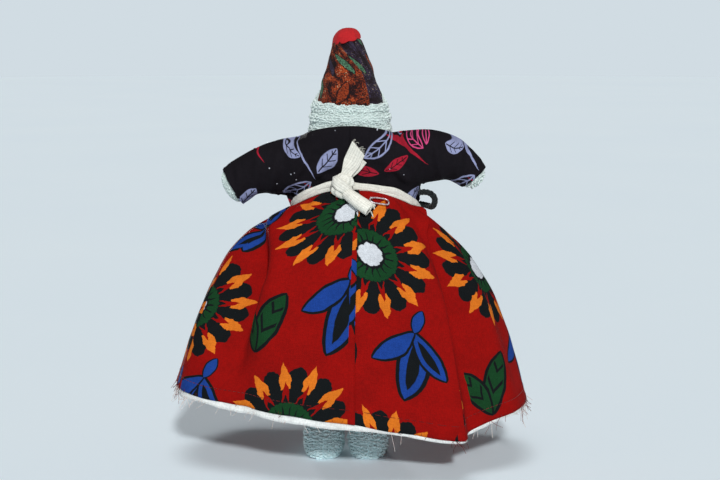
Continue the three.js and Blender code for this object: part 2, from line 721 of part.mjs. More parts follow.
function skirtLine(angle, drop) {
  const at = drop <= 1 ? bell.getPoint(drop) : bell.getPoint(1).addScaledVector(bell.getTangent(1), drop - 1);
  const leftward = ((1 + Math.cos(angle)) / 2) ** 2;
  at.x += SKIRT_LEFT_FULLNESS * leftward * at.x * (1 - at.x) ** 2;
  const top = bandZ(angle) - BAND_WIDTH / 2 - SEAM_GAP;
  const squareness = lerp(2.1, HEM_SQUARENESS, at.x);
  const halfWidth = lerp(WAIST_HALF_WIDTH, HEM_HALF_WIDTH, at.x);
  const halfDepth = lerp(WAIST_HALF_DEPTH, HEM_HALF_DEPTH, at.x);
  const point = ovalPoint(angle, halfWidth, halfDepth, squareness);
  const out = point.clone().normalize();
  point.addScaledVector(out, foldOut(angle, drop));
  point.x += lerp(WAIST_X, HEM_X, at.x);
  point.y += HEM_Y * at.x;
  point.z = lerp(top, hemZ(angle), at.y);
  return { point, out };
}

// A point of the skirt's face, or of a layer at some depth behind it.
function skirtPoint(angle, drop, depth) {
  const { point, out } = skirtLine(angle, drop);
  const above = skirtLine(angle, Math.max(drop - 0.02, 0)).point;
  const below = skirtLine(angle, drop + 0.02).point;
  const along = below.sub(above);
  const run = along.dot(out);
  const normal = out.clone().multiplyScalar(-along.z).add(new THREE.Vector3(0, 0, run)).normalize();
  return point.addScaledVector(normal, -depth);
}

function bellShell(depth, wall, lastDrop) {
  const drops = Array.from({ length: SKIRT_ROWS }, (_, i) => (i / (SKIRT_ROWS - 1)) ** 1.1);
  if (lastDrop > 1) drops.push(lastDrop);
  const rows = (inset) => drops.map((drop) => ring(SKIRT_SIDES, (angle) => skirtPoint(angle, drop, inset)));
  return skin([...rows(depth), ...rows(depth + wall).reverse()], true);
}

// The room that the skirt and what is under it take, with a seam's gap on its face.
function skirtRoom() {
  return bellShell(-SEAM_GAP, KNOT_DEPTH, 1);
}

// Waistband, knot, tails and pin

function waistband() {
  const half = BAND_WIDTH / 2;
  const soft = 0.7;
  const section = [
    [0, -half + soft], [0, half - soft],
    [soft, half], [BAND_THICKNESS - soft, half],
    [BAND_THICKNESS, half - soft], [BAND_THICKNESS, -half + soft],
    [BAND_THICKNESS - soft, -half], [soft, -half],
  ];
  const rows = section.map(([inset, rise]) => ring(BODY_SIDES, (angle) => {
    const point = ovalPoint(angle, WAIST_HALF_WIDTH - inset, WAIST_HALF_DEPTH - inset, 2.1);
    point.x += WAIST_X;
    point.z = bandZ(angle) + rise;
    return point;
  }));
  return skin(rows, true);
}

function backAngle(x) {
  return Math.acos(((x - WAIST_X) / WAIST_HALF_WIDTH));
}

function bandBack(x) {
  const angle = backAngle(x);
  const point = ovalPoint(angle, WAIST_HALF_WIDTH, WAIST_HALF_DEPTH, 2.1);
  return new THREE.Vector3(x, point.y, bandZ(angle));
}

// A strip of tape along a path, with its section drawn as [across, out] points.
function strip(stations, section) {
  const rows = stations.map(({ at, across, out }) => section(at).map(([wide, thick]) => at.clone()
    .addScaledVector(across, wide)
    .addScaledVector(out, thick)));
  return skin(rows, false);
}

function along(points, count, outward) {
  const curve = new THREE.CatmullRomCurve3(points);
  return Array.from({ length: count }, (_, i) => {
    const place = i / (count - 1);
    const tangent = curve.getTangent(place);
    const out = outward.clone().addScaledVector(tangent, -outward.dot(tangent)).normalize();
    return { at: curve.getPoint(place), across: tangent.clone().cross(out).normalize(), out, place };
  });
}

const knotAt = bandBack(KNOT_X).add(new THREE.Vector3(0, KNOT_DEPTH / 2 + SEAM_GAP, 0));

// The knot: a tape wound once round the crossing, so it bulges on both sides of a waist.
function knotForm(grow) {
  const rows = Array.from({ length: 15 }, (_, i) => {
    const lean = (i / 14) * Math.PI;
    const height = (KNOT_HEIGHT / 2 + grow) * Math.cos(lean);
    const swell = Math.sin(lean) ** 0.6;
    const waist = 1 - 0.16 * Math.exp(-((height / 2.4) ** 2));
    return ring(LIMB_SIDES, (angle) => {
      const halfWidth = (KNOT_WIDTH / 2 + grow) * swell * waist;
      const halfDepth = (KNOT_DEPTH / 2 + grow) * swell * waist;
      const oval = ovalPoint(angle, halfWidth, halfDepth, 2.6);
      return new THREE.Vector3(oval.x, oval.y, height);
    });
  });
  return skin(rows, false).rotate([0, -24, 0]).translate([knotAt.x, knotAt.y, knotAt.z]);
}

function tieKnot() {
  return knotForm(0).subtract(skirtRoom());
}

function tailUp() {
  const start = knotAt.clone().add(new THREE.Vector3(-2.4, 0.3, KNOT_HEIGHT / 2 + 0.6));
  const lean = new THREE.Vector3(-0.42, 0, 0.9).normalize();
  const points = [0, 0.35, 0.7, 1].map((place) => start.clone()
    .addScaledVector(lean, TAIL_UP_LENGTH * place)
    .add(new THREE.Vector3(0, -1.6 * Math.sin(place * 2.2), 0)));
  const half = TAPE_WIDTH / 2;
  const thick = TAPE_THICKNESS / 2;
  const stations = along(points, 7, new THREE.Vector3(0, 1, 0));
  const first = stations[0].at;
  return strip(stations, (at) => {
    const spread = lerp(0.62, 1, smoothstep(at.distanceTo(first), 0, TAIL_UP_LENGTH * 0.5));
    return [
      [-half * spread, 0], [-half * spread + 0.7, thick], [0, thick * 1.2], [half * spread - 0.7, thick],
      [half * spread, 0], [half * spread - 0.7, -thick], [0, -thick], [-half * spread + 0.7, -thick],
    ];
  }).subtract(knotForm(SEAM_GAP));
}

// The lower tail is rolled on itself: an open curl of tape that lies on the skirt.
function tailDown() {
  const start = knotAt.clone().add(TAIL_DOWN_START);
  const run = [0.4, 0.7, 1].map((place) => {
    const length = place * TAIL_DOWN_LENGTH;
    const angle = backAngle(KNOT_X - 2.7 - length * TAIL_DOWN_ASIDE);
    return skirtPoint(angle, 0.03 + length * TAIL_DOWN_FALL, -(ROLL_RADIUS + SEAM_GAP));
  });
  const stations = along([start, ...run], 9, new THREE.Vector3(0, 0.75, 0.66));
  const first = stations[0].at;
  return strip(stations, (at) => {
    const open = smoothstep(at.distanceTo(first), 0, TAIL_DOWN_LENGTH * 0.8);
    const radius = lerp(2.6, ROLL_RADIUS, open);
    const wall = lerp(1.2, TAPE_THICKNESS * 0.62, open);
    const arc = (r, from, to, steps) => Array.from({ length: steps + 1 }, (_, i) => {
      const angle = degToRad(lerp(from, to, i / steps));
      return [r * Math.cos(angle) * 1.25, r * Math.sin(angle)];
    });
    return [...arc(radius, -150, 130, 8), ...arc(radius - wall, 130, -150, 8)];
  });
}

function waistPin() {
  const angle = backAngle(PIN_X);
  const lift = -(PIN_WIRE / 2 + SEAM_GAP);
  const seat = skirtPoint(angle, PIN_DROP, lift);
  const next = skirtPoint(backAngle(PIN_X + 1), PIN_DROP, lift);
  const above = skirtPoint(angle, PIN_DROP / 2, lift);
  const across = next.sub(seat).normalize();
  const up = above.sub(seat).normalize();
  const half = PIN_HEIGHT / 2 - PIN_WIRE / 2;
  const run = PIN_LENGTH / 2 - half;
  const loop = Array.from({ length: 20 }, (_, i) => {
    const turn = (i / 20) * TURN;
    const side = Math.abs(Math.cos(turn)) < 1e-9 ? 0 : Math.sign(Math.cos(turn));
    const x = side * run + half * Math.cos(turn);
    const y = half * Math.sin(turn);
    const center = seat.clone().addScaledVector(across, x).addScaledVector(up, y);
    const out = across.clone().multiplyScalar(Math.cos(turn)).addScaledVector(up, Math.sin(turn));
    const outward = across.clone().cross(up).normalize();
    return ring(6, (around) => center.clone()
      .addScaledVector(out, (PIN_WIRE / 2) * Math.cos(around))
      .addScaledVector(outward, (PIN_WIRE / 2) * Math.sin(around)));
  });
  return skin(loop, true);
}

// Braided cord loop, from the blouse under the right arm out over the top of the skirt

function hipCord() {
  const points = [
    [-43.4, 4, 175], [-46.4, 5, 175.4], [-50, 5.5, 174.6], [-52.6, 5.2, 172],
    [-53, 4.2, 169], [-52.2, 2.4, 166.4], [-51, -1.2, 165.2], [-49.4, -5, 165.2],
    [-46.8, -7.6, 165.6], [-44, -7.4, 166.2],
  ].map((point) => new THREE.Vector3(...point));
  const curve = new THREE.CatmullRomCurve3(points);
  const section = new THREE.Shape().absarc(0, 0, CORD_DIAMETER / 2, 0, TURN);
  return toSolid(new THREE.ExtrudeGeometry(section, {
    steps: 14,
    curveSegments: 4,
    bevelEnabled: false,
    extrudePath: curve,
  }));
}

addPiece('torso', torso(), 'core');
addPiece('blouse_body', blouseBody(), 'blouse');
addPiece('skirt', bellShell(0, CLOTH, 1), 'skirt');
addPiece('petticoat', bellShell(CLOTH + SEAM_GAP, LINING, 1 + PETTICOAT_DROP), 'petticoat');
addPiece('waistband', waistband(), 'tape');
addPiece('tie_knot', tieKnot(), 'tape');
addPiece('tie_tail_upper', tailUp(), 'tape');
addPiece('tie_tail_lower', tailDown(), 'tape');
addPiece('waist_pin', waistPin(), 'pin');
addPiece('hip_cord', hipCord(), 'cord');
addPiece('neck_roll', neckRoll(), 'core');
addPiece('head', head(), 'terry');
addPiece('hood', hood(), 'hood');
addPiece('hood_tip', hoodTip(), 'hoodTip');
addPiece('left_eye', eye(1), 'eye');
addPiece('right_eye', eye(-1), 'eye');
addPiece('mouth', mouth(), 'mouth');
addPiece('left_sleeve', sleeve(arms.left), 'blouse');
addPiece('right_sleeve', sleeve(arms.right), 'blouse');
addPiece('left_arm_roll', armRoll(arms.left), 'terry');
addPiece('right_arm_roll', armRoll(arms.right), 'terry');
addPiece('left_leg', leg(1), 'terryShade');
addPiece('right_leg', leg(-1), 'terryShade');
addPiece('left_foot', foot(1), 'terryShade');
addPiece('right_foot', foot(-1), 'terryShade');

export default doll;
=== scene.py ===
"""A hand-sewn rag doll: terry head and limbs, printed hood, blouse and skirt, and a tape tied behind.

The doll stands with its back to the camera. Shapes are worked out in millimetres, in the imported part's own
frame, and a finished mesh is brought to metres.
"""
import math
import random

import bmesh
import bpy
from bpy.props import FloatProperty, FloatVectorProperty, IntProperty, PointerProperty
from mathutils import Matrix, Vector, noise


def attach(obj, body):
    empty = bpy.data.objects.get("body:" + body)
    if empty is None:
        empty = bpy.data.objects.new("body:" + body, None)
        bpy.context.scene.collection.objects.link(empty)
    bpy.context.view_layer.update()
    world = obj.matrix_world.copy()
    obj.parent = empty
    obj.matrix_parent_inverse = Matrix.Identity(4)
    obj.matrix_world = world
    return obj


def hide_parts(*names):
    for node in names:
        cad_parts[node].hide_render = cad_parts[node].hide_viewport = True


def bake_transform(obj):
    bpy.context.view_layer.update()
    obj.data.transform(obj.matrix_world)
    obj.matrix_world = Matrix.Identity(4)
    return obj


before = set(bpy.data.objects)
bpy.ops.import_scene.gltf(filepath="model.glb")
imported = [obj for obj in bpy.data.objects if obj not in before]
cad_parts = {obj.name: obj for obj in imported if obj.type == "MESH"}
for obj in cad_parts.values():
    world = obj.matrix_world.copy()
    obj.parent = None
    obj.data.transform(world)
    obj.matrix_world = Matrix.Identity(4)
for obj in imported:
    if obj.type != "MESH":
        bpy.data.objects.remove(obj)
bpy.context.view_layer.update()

bl_info = {
    "name": "Rag Doll",
    "version": (1, 0, 0),
    "blender": (4, 5, 0),
    "location": "View3D > Sidebar > Rag Doll",
    "description": "Sews and stuffs a rag doll around its packed frame",
    "category": "Add Mesh",
}

MM = 0.001
TURN = 2 * math.pi
UP = Vector((0, 0, 1))

# Points of a seam or a pole that are nearer than this meet
MEETING = 1e-4

# The photograph's view
IMAGE_WIDTH = 720
IMAGE_HEIGHT = 480
VIEW_AIM = Vector((-4.85, 0, 143.5))
VIEW_DISTANCE = 1000
VIEW_ELEVATION = math.radians(8.5)
VIEW_HEIGHT_ANGLE = math.radians(17.7)

# Head, hood and tip
HEAD_X = 1.5
CROWN_Z = 263
CROWN_FOLD = 0.2
HEAD_RADIUS = 26
HOOD_HEM_RADIUS = 21.3
HOOD_TOP_RADIUS = 8.4
HOOD_HEM_BACK_Z = 231
HOOD_HEM_FRONT_Z = 243
HOOD_SHOULDER_Z = 271.5
HOOD_DOME = 3
HOOD_LEAN = 0.75
HOOD_BELLY = 0.9
HOOD_ROOM = 2.4
TIP_LIFT = 1.2
DOLL_TOP_Z = 280
FACE_RADIUS = 24
EYE_SPREAD = 8
EYE_Z = 231
MOUTH_Z = 222.2

# Blouse
NECKLINE_RADIUS = HEAD_RADIUS + 1.4
NECKLINE_SIDE_Z = 213.5
NECKLINE_BACK_RISE = 6
NECKLINE_FRONT_RISE = 0.5
BLOUSE_TUCK = 8

# Waistband, knot, tails and pin
WAIST_X = -2
WAIST_Z = 166
WAIST_HALF_WIDTH = 42
WAIST_HALF_DEPTH = 26
WAIST_SQUARENESS = 2.1
WAIST_BACK_RISE = 16.5
WAIST_FRONT_RISE = 5
BAND_WIDTH = 6
SEAM_GAP = 0.4
TAPE_WALL = 1.3
FRAY_RADIUS = 0.12
KNOT_X = 6
KNOT_WIDTH = 13
KNOT_HEIGHT = 15.5
KNOT_DEPTH = 9
TAIL_DOWN_LENGTH = 21.5
TAIL_DOWN_ASIDE = 0.5
TAIL_DOWN_FALL = 0.0052
ROLL_RADIUS = 3.96
PIN_X = -13
PIN_DROP = 0.075
PIN_LENGTH = 12
PIN_HEIGHT = 5.4
PIN_WIRE = 1.2

# Skirt and petticoat
HEM_Y = 0.55
HEM_HALF_WIDTH = 114.5
HEM_HALF_DEPTH = 66
HEM_SQUARENESS = 2.3
SKIRT_LEFT_FULLNESS = 0.55
PETTICOAT_DROP = 0.045

# Cloth: thickness in millimetres
SKIRT_WALL = 0.6
PETTICOAT_WALL = 0.4
BLOUSE_WALL = 0.8
HOOD_WALL = 0.7

# Feet
FOOT_HALF_WIDTH = 12.6
FOOT_HEIGHT = 25
TOE_HEIGHT = 15
FOOT_HEEL_Y = 15
FOOT_TOE_Y = -24
LEGS_X = 4.5
LEG_SPREAD = 14.7
HIP_Z = 114
HIP_RADIUS = 12.5
ANKLE_Z = 18


# Plain arithmetic


def lerp(first, second, share):
    return first + (second - first) * share


def clamp(value, low=0.0, high=1.0):
    return min(max(value, low), high)


def smooth(value, low, high):
    share = clamp((value - low) / (high - low))
    return share * share * (3 - 2 * share)


def through(*pairs):
    """A smooth value through (place, value) pairs, level past both ends."""

    def value(place):
        i = 0
        while i < len(pairs) - 2 and place > pairs[i + 1][0]:
            i += 1
        a, b = pairs[i], pairs[i + 1]
        before, after = pairs[max(i - 1, 0)], pairs[min(i + 2, len(pairs) - 1)]
        span = b[0] - a[0]
        s = clamp((place - a[0]) / span)
        slope_a = (b[1] - before[1]) / (b[0] - before[0]) * span
        slope_b = (after[1] - a[1]) / (after[0] - a[0]) * span
        square, cube = s * s, s * s * s
        return ((2 * cube - 3 * square + 1) * a[1] + (cube - 2 * square + s) * slope_a
                + (3 * square - 2 * cube) * b[1] + (cube - square) * slope_b)

    return value


def line_through(points):
    """A smooth line through points, from 0 at the first to 1 at the last."""
    points = [Vector(p) for p in points]
    ends = [points[0] * 2 - points[1], *points, points[-1] * 2 - points[-2]]

    def at(place):
        spans = len(points) - 1
        i = min(int(clamp(place) * spans), spans - 1)
        t = clamp(place) * spans - i
        a, b, c, d = ends[i:i + 4]
        return (b * 2 + (c - a) * t + (a * 2 - b * 5 + c * 4 - d) * t ** 2
                + (b * 3 - a - c * 3 + d) * t ** 3) / 2

    return at


def around(side, back_rise, front_rise, angle):
    """A closed line's height, level at the sides, with a rise behind and in front."""
    lean = (back_rise - front_rise) / 2 * math.sin(angle)
    return side + lean + (back_rise + front_rise) / 4 * (1 - math.cos(2 * angle))


def signed_power(value, power):
    """A power of the value that keeps its sign, for round and squarish sections."""
    return math.copysign(abs(value) ** power, value)


def oval(angle, half_width, half_depth, squareness=2.0):
    power = 2 / squareness
    across, along = signed_power(math.cos(angle), power), signed_power(math.sin(angle), power)
    return Vector((across * half_width, along * half_depth, 0))


def ring_point(x, radius, angle, z):
    """A point of a level ring round the upright line at x."""
    return Vector((x + radius * math.cos(angle), radius * math.sin(angle), z))


def heading(path, place, step):
    """The direction in which path(0 to 1) runs at a place."""
    return (path(min(place + step, 1)) - path(max(place - step, 0))).normalized()


def ripple(x, y, z, size, seed):
    """Smooth unevenness from -1 to 1 that changes over the given size."""
    return noise.noise(Vector((x / size + seed, y / size - seed, z / size)))


def ripple_round(angle, radius, z, size, seed):
    return ripple(math.cos(angle) * radius, math.sin(angle) * radius, z, size, seed)


def mound(away, wide):
    """A soft mound, 1 at its middle and 0.37 at its width."""
    return math.exp(-((away / wide) ** 2))


def apart(here, there):
    """How far one direction lies from another, -180 to 180 degrees."""
    return (here - there + 180) % 360 - 180


# Mesh helpers


def uv_layer(bm):
    return bm.loops.layers.uv.get("UVMap") or bm.loops.layers.uv.new("UVMap")


def bent_grid(bm, columns, rows, place, chart=None, turned=False):
    """Adds a grid bent by place(i, j), with a UV map in millimetres from chart(i, j, first column)."""
    layer = uv_layer(bm)
    made = bmesh.ops.create_grid(bm, x_segments=columns, y_segments=rows, size=0.5, calc_uvs=True)
    for vert in made["verts"]:
        vert.co = place(round((vert.co.x + 0.5) * columns), round((vert.co.y + 0.5) * rows))
    faces = list({face for vert in made["verts"] for face in vert.link_faces})
    if chart:
        for face in faces:
            spots = [loop[layer].uv for loop in face.loops]
            cells = [(round(spot.x * columns), round(spot.y * rows)) for spot in spots]
            first = min(i for i, _ in cells)
            for loop, (i, j) in zip(face.loops, cells):
                loop[layer].uv = chart(i, j, first)
    if turned:
        bmesh.ops.reverse_faces(bm, faces=faces)
    return made["verts"]


def weld(bm, verts):
    """Joins the points of a grid that meet, at a seam that runs round and at a pole."""
    bmesh.ops.remove_doubles(bm, verts=verts, dist=MEETING)


def closed_grid(bm, columns, rows, place, chart=None, turned=False):
    weld(bm, bent_grid(bm, columns, rows, place, chart, turned))


def closed_body(bm, surface, sides, rows, turned=False):
    """Adds a closed body from surface(angle, row), with one point at its first and at its last row."""

    def place(i, j):
        return surface(i / sides * TURN if 0 < j < rows else 0, j / rows)

    closed_grid(bm, sides, rows, place, turned=turned)
    bmesh.ops.recalc_face_normals(bm, faces=bm.faces)


def tube(bm, path, radius, sides, steps, chart_width=0.0):
    """Adds a tube with round ends along path(0 to 1)."""
    stations = [0, 0] + [i / steps for i in range(steps + 1)] + [1, 1]
    shrink = [0, 0.7] + [1] * (steps + 1) + [0.7, 0]
    beyond = [-1, -0.7] + [0] * (steps + 1) + [0.7, 1]
    step = 0.5 / steps
    normal = None
    rings = []
    for place, share, past in zip(stations, shrink, beyond):
        ahead = heading(path, place, step)
        if normal is None:
            normal = ahead.orthogonal().normalized()
        normal = (normal - ahead * normal.dot(ahead)).normalized()
        side = ahead.cross(normal)
        rings.append((path(place) + ahead * radius * past, normal * radius * share, side * radius * share))

    def place_at(i, j):
        centre, out, side = rings[j]
        angle = i / sides * TURN
        return centre + out * math.cos(angle) + side * math.sin(angle)

    def chart(i, j, _):
        return (i / sides * chart_width, j / len(rings) * chart_width * 4)

    closed_grid(bm, sides, len(rings) - 1, place_at, chart)


def push_out(bm, amount):
    """Moves each vertex along its normal by amount(place)."""
    bm.normal_update()
    moves = [(vert, vert.normal * amount(vert.co)) for vert in bm.verts]
    for vert, move in moves:
        vert.co += move


def finish_piece(name, bm, *cloths):
    """Makes the object, smooth and in metres, from a bmesh in millimetres and the names of its materials."""
    bm.transform(Matrix.Scale(MM, 4))
    bm.normal_update()
    mesh = bpy.data.meshes.new(name)
    bm.to_mesh(mesh)
    bm.free()
    for cloth in cloths:
        mesh.materials.append(material(cloth))
    mesh.shade_smooth()
    piece = bpy.data.objects.new(name, mesh)
    bpy.context.scene.collection.objects.link(piece)
    return piece


def add_wall(piece, wall):
    """Gives a cloth its thickness, behind the face that shows."""
    solidify = piece.modifiers.new("wall", "SOLIDIFY")
    solidify.thickness = wall * MM
    solidify.offset = -1
    return piece


def carried(piece, body, slot, *nodes):
    """Lets a piece ride on a body in place of the solids of its nodes. The slot is not used."""
    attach(piece, body)
    if nodes:
        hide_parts(*nodes)
    return piece


# Terry


LOOP_RADIUS = 0.95
LOOP_YARN = 0.4
LOOP_SIDES = 5
LOOP_STEPS = 5
TERRY_ROW = 1.85
TERRY_STEP = 1.6
TERRY_DARK = 0.86


def yarn_loop():
    """One loop of terry yarn, standing over the origin on both feet."""
    bm = bmesh.new()
    foot = Matrix.Translation((LOOP_RADIUS, 0, 0))
    bmesh.ops.create_circle(bm, segments=LOOP_SIDES, radius=LOOP_YARN, matrix=foot)
    bmesh.ops.spin(bm, geom=bm.edges[:], cent=(0, 0, 0), axis=(0, 1, 0), angle=-math.pi, steps=LOOP_STEPS)
    bmesh.ops.scale(bm, vec=(0.9, 1.1, 1.25), verts=bm.verts)
    mesh = bpy.data.meshes.new("yarn_loop")
    bm.to_mesh(mesh)
    bm.free()
    return mesh


def add_terry(bm, surface, rows, step=TERRY_STEP, low=0.0, seed=1, ribs=0, grow=1.0):
    """Covers surface(angle, row) with loops of yarn, in rows round it or in a number of upright ribs."""
    draw = random.Random(seed)
    template = yarn_loop()
    rest = [vert.co.copy() for vert in template.vertices]
    template.polygons.foreach_set("material_index", [1] * len(template.polygons))
    for number, row in enumerate(rows):
        points = [surface(k / 40 * TURN, row) for k in range(41)]
        length = sum((b - a).length for a, b in zip(points, points[1:]))
        count = ribs or round(length / step)
        loose = 0.1 if ribs else 0.25
        for k in range(count):
            stagger = 0 if ribs else 0.5 * (number % 2)
            angle = (k + stagger + draw.uniform(-loose, loose)) / count * TURN
            place = row + draw.uniform(-0.28, 0.28) * (rows[1] - rows[0])
            here = surface(angle, place)
            along = (surface(angle + 0.02, place) - surface(angle - 0.02, place)).normalized()
            rise = surface(angle, place + 0.02) - surface(angle, place - 0.02)
            out = along.cross(rise).normalized()
            if here.z < low or out.length < 0.5:
                continue
            turn = Matrix((along, out.cross(along), out)).transposed()
            turn = turn @ Matrix.Rotation(draw.uniform(-1.1, 1.1) * (0.4 if ribs else 1), 3, "Z")
            turn = turn @ Matrix.Rotation(draw.uniform(-0.3, 0.8), 3, "X")
            size = draw.uniform(0.8, 1.3) * grow
            base = here - out * 0.25
            flat = [c for co in rest for c in base + turn @ (co * size)]
            template.vertices.foreach_set("co", flat)
            bm.from_mesh(template)
    bpy.data.meshes.remove(template)


# Colours and node wiring


def screen(red, green, blue):
    """A colour as it shows on a screen, 0 to 255, as the linear values that a shader takes."""

    def channel(value):
        share = value / 255
        return share / 12.92 if share <= 0.04045 else ((share + 0.055) / 1.055) ** 2.4

    return (channel(red), channel(green), channel(blue))


class Wiring:
    """Adds nodes to one tree. Wherever a number or a colour is taken, a socket may be given instead."""

    def __init__(self, tree):
        self.tree = tree

    def feed(self, socket, value):
        if isinstance(value, bpy.types.NodeSocket):
            self.tree.links.new(value, socket)
        elif socket.type == "RGBA":
            socket.default_value = (*value[:3], 1)
        else:
            socket.default_value = value

    def add(self, kind, inputs=None, **settings):
        made = self.tree.nodes.new(kind)
        for key, value in settings.items():
            setattr(made, key, value)
        for key, value in (inputs or {}).items():
            self.feed(made.inputs[key], value)
        return made

    def math(self, operation, first, second=0.0, third=0.0):
        return self.add("ShaderNodeMath", {0: first, 1: second, 2: third}, operation=operation).outputs[0]

    def paint(self, shader, colour):
        self.feed(shader.inputs["Base Color"], colour)

    def plus(self, first, second):
        return self.math("ADD", first, second)

    def minus(self, first, second):
        return self.math("SUBTRACT", first, second)

    def times(self, first, second):
        return self.math("MULTIPLY", first, second)

    def below(self, value, edge, soft):
        """1 where value is under edge, 0 where it is over, with a soft border."""
        return self.spread(value, edge - soft, edge + soft, 1.0, 0.0)

    def spread(self, value, low, high, to_low=0.0, to_high=1.0):
        """Takes low to high over to the second pair of values, smoothly, and stays level past both."""
        inputs = {"Value": value, "From Min": low, "From Max": high, "To Min": to_low, "To Max": to_high}
        return self.add("ShaderNodeMapRange", inputs, interpolation_type="SMOOTHSTEP").outputs[0]

    def mix(self, share, first, second):
        node = self.add("ShaderNodeMix", data_type="RGBA")
        self.feed(node.inputs[0], share)
        self.feed(node.inputs[6], first)
        self.feed(node.inputs[7], second)
        return node.outputs[2]

    def noise(self, vector, scale, detail=2.0, roughness=0.5, distortion=0.0):
        inputs = {"Vector": vector, "Scale": scale, "Detail": detail, "Roughness": roughness,
                  "Distortion": distortion}
        return self.add("ShaderNodeTexNoise", inputs).outputs["Fac"]

    def parts(self, vector):
        return self.add("ShaderNodeSeparateXYZ", {"Vector": vector}).outputs

    def vector(self, x, y, z=0.0):
        return self.add("ShaderNodeCombineXYZ", {"X": x, "Y": y, "Z": z}).outputs[0]

    def group(self, tree, inputs):
        node = self.add("ShaderNodeGroup")
        node.node_tree = tree
        for key, value in inputs.items():
            self.feed(node.inputs[key], value)
        return node.outputs


def shader_group(name, inputs, outputs, build):
    """A node group, built once, with its named inputs and outputs."""
    tree = bpy.data.node_groups.get(name)
    if tree:
        return tree
    tree = bpy.data.node_groups.new(name, "ShaderNodeTree")
    for label, kind, default in inputs:
        socket = tree.interface.new_socket(label, in_out="INPUT", socket_type="NodeSocket" + kind)
        if default is not None:
            socket.default_value = (*default, 1) if kind == "Color" else default
    for label, kind in outputs:
        tree.interface.new_socket(label, in_out="OUTPUT", socket_type="NodeSocket" + kind)
    wiring = Wiring(tree)
    results = build(wiring, wiring.add("NodeGroupInput").outputs)
    target = wiring.add("NodeGroupOutput")
    for label, value in results.items():
        wiring.feed(target.inputs[label], value)
    return tree


def cloth_weave():
    """Plain weave with uneven yarns: a height for bump, and a light and dark for colour."""

    def build(w, given):
        at = w.parts(given["Vector"])
        pitch = given["Pitch"]
        warp = w.math("SINE", w.math("DIVIDE", w.times(at["X"], math.pi), pitch))
        weft = w.math("SINE", w.math("DIVIDE", w.times(at["Y"], math.pi), pitch))
        grid = w.times(warp, weft)
        slub = w.noise(w.vector(w.times(at["X"], 0.25), at["Y"]), 1.2, 3.0)
        cross = w.noise(w.vector(at["X"], w.times(at["Y"], 0.25)), 1.2, 3.0)
        uneven = w.plus(slub, cross)
        height = w.math("MULTIPLY_ADD", grid, 0.35, uneven)
        return {"Height": height, "Shade": w.spread(uneven, 0.7, 1.3)}

    inputs = [("Vector", "Vector", None), ("Pitch", "Float", 0.6)]
    return shader_group("cloth_weave", inputs, [("Height", "Float"), ("Shade", "Float")], build)


def worn_tone():
    """Turns a colour a little lighter and darker in broad, soft patches."""

    def build(w, given):
        patch = w.noise(given["Vector"], given["Scale"], 3.0, 0.6)
        change = w.spread(patch, 0.3, 0.7, -1.0, 1.0)
        value = w.math("MULTIPLY_ADD", w.times(change, given["Amount"]), 1.0, 1.0)
        toned = w.add("ShaderNodeHueSaturation", {"Color": given["Color"], "Value": value})
        return {"Color": toned.outputs[0]}

    inputs = [("Vector", "Vector", None), ("Color", "Color", (1, 1, 1)), ("Scale", "Float", 40.0),
              ("Amount", "Float", 0.08)]
    return shader_group("worn_tone", inputs, [("Color", "Color")], build)


def leaf_shape():
    """A leaf from the origin to (1, 0): its edge distance, below 0 inside, and how near its vein is."""

    def build(w, given):
        at = w.parts(given["Vector"])
        inside = w.math("MINIMUM", w.math("MAXIMUM", at["X"], 0.0), 1.0)
        bow = w.times(w.math("SINE", w.times(inside, math.pi)), given["Bend"])
        swell = w.math("POWER", w.math("SINE", w.times(inside, math.pi)), 0.75)
        off = w.math("ABSOLUTE", w.minus(at["Y"], bow))
        past = w.times(w.math("ABSOLUTE", w.minus(at["X"], inside)), 4.0)
        edge = w.plus(w.minus(off, w.times(swell, 0.5)), past)
        return {"Edge": edge, "Vein": off, "Along": inside}

    inputs = [("Vector", "Vector", None), ("Bend", "Float", 0.0)]
    outputs = [("Edge", "Float"), ("Vein", "Float"), ("Along", "Float")]
    return shader_group("leaf_shape", inputs, outputs, build)


def half_drop():
    """Repeats a cell of Width by Height, each column of cells half a cell lower than the last."""

    def build(w, given):
        at = w.parts(given["Vector"])
        column = w.math("FLOOR", w.math("DIVIDE", at["X"], given["Width"]))
        odd = w.math("MODULO", w.math("ABSOLUTE", column), 2.0)
        drop = w.times(w.times(odd, 0.5), given["Height"])
        x = w.minus(at["X"], w.times(w.plus(column, 0.5), given["Width"]))
        top, bottom = (w.times(given["Height"], share) for share in (0.5, -0.5))
        y = w.math("WRAP", w.plus(at["Y"], drop), top, bottom)
        return {"Vector": w.vector(x, y), "Odd": odd}

    inputs = [("Vector", "Vector", None), ("Width", "Float", 90.0), ("Height", "Float", 110.0)]
    return shader_group("half_drop", inputs, [("Vector", "Vector"), ("Odd", "Float")], build)


def leaf_at(w, vector, place, angle, length, width, bend):
    """A leaf that starts at place and points along angle."""
    inputs = {"Vector": vector, "Location": (*place, 0), "Rotation": (0, 0, math.radians(angle)),
              "Scale": (length, width, 1)}
    local = w.add("ShaderNodeMapping", inputs, vector_type="TEXTURE").outputs[0]
    return w.group(leaf_shape(), {"Vector": local, "Bend": bend})


def hand_printed(w, vector, size, amount):
    """Makes the edges of a print waver, as ink on cloth does."""
    shift = w.add("ShaderNodeTexNoise", {"Vector": vector, "Scale": size, "Detail": 2.0}).outputs["Color"]
    centred = w.add("ShaderNodeVectorMath", {0: shift, 1: (0.5, 0.5, 0.5)}, operation="SUBTRACT").outputs[0]
    scaled = w.add("ShaderNodeVectorMath", {0: centred, "Scale": amount * 2}, operation="SCALE").outputs[0]
    return w.add("ShaderNodeVectorMath", {0: vector, 1: scaled}, operation="ADD").outputs[0]


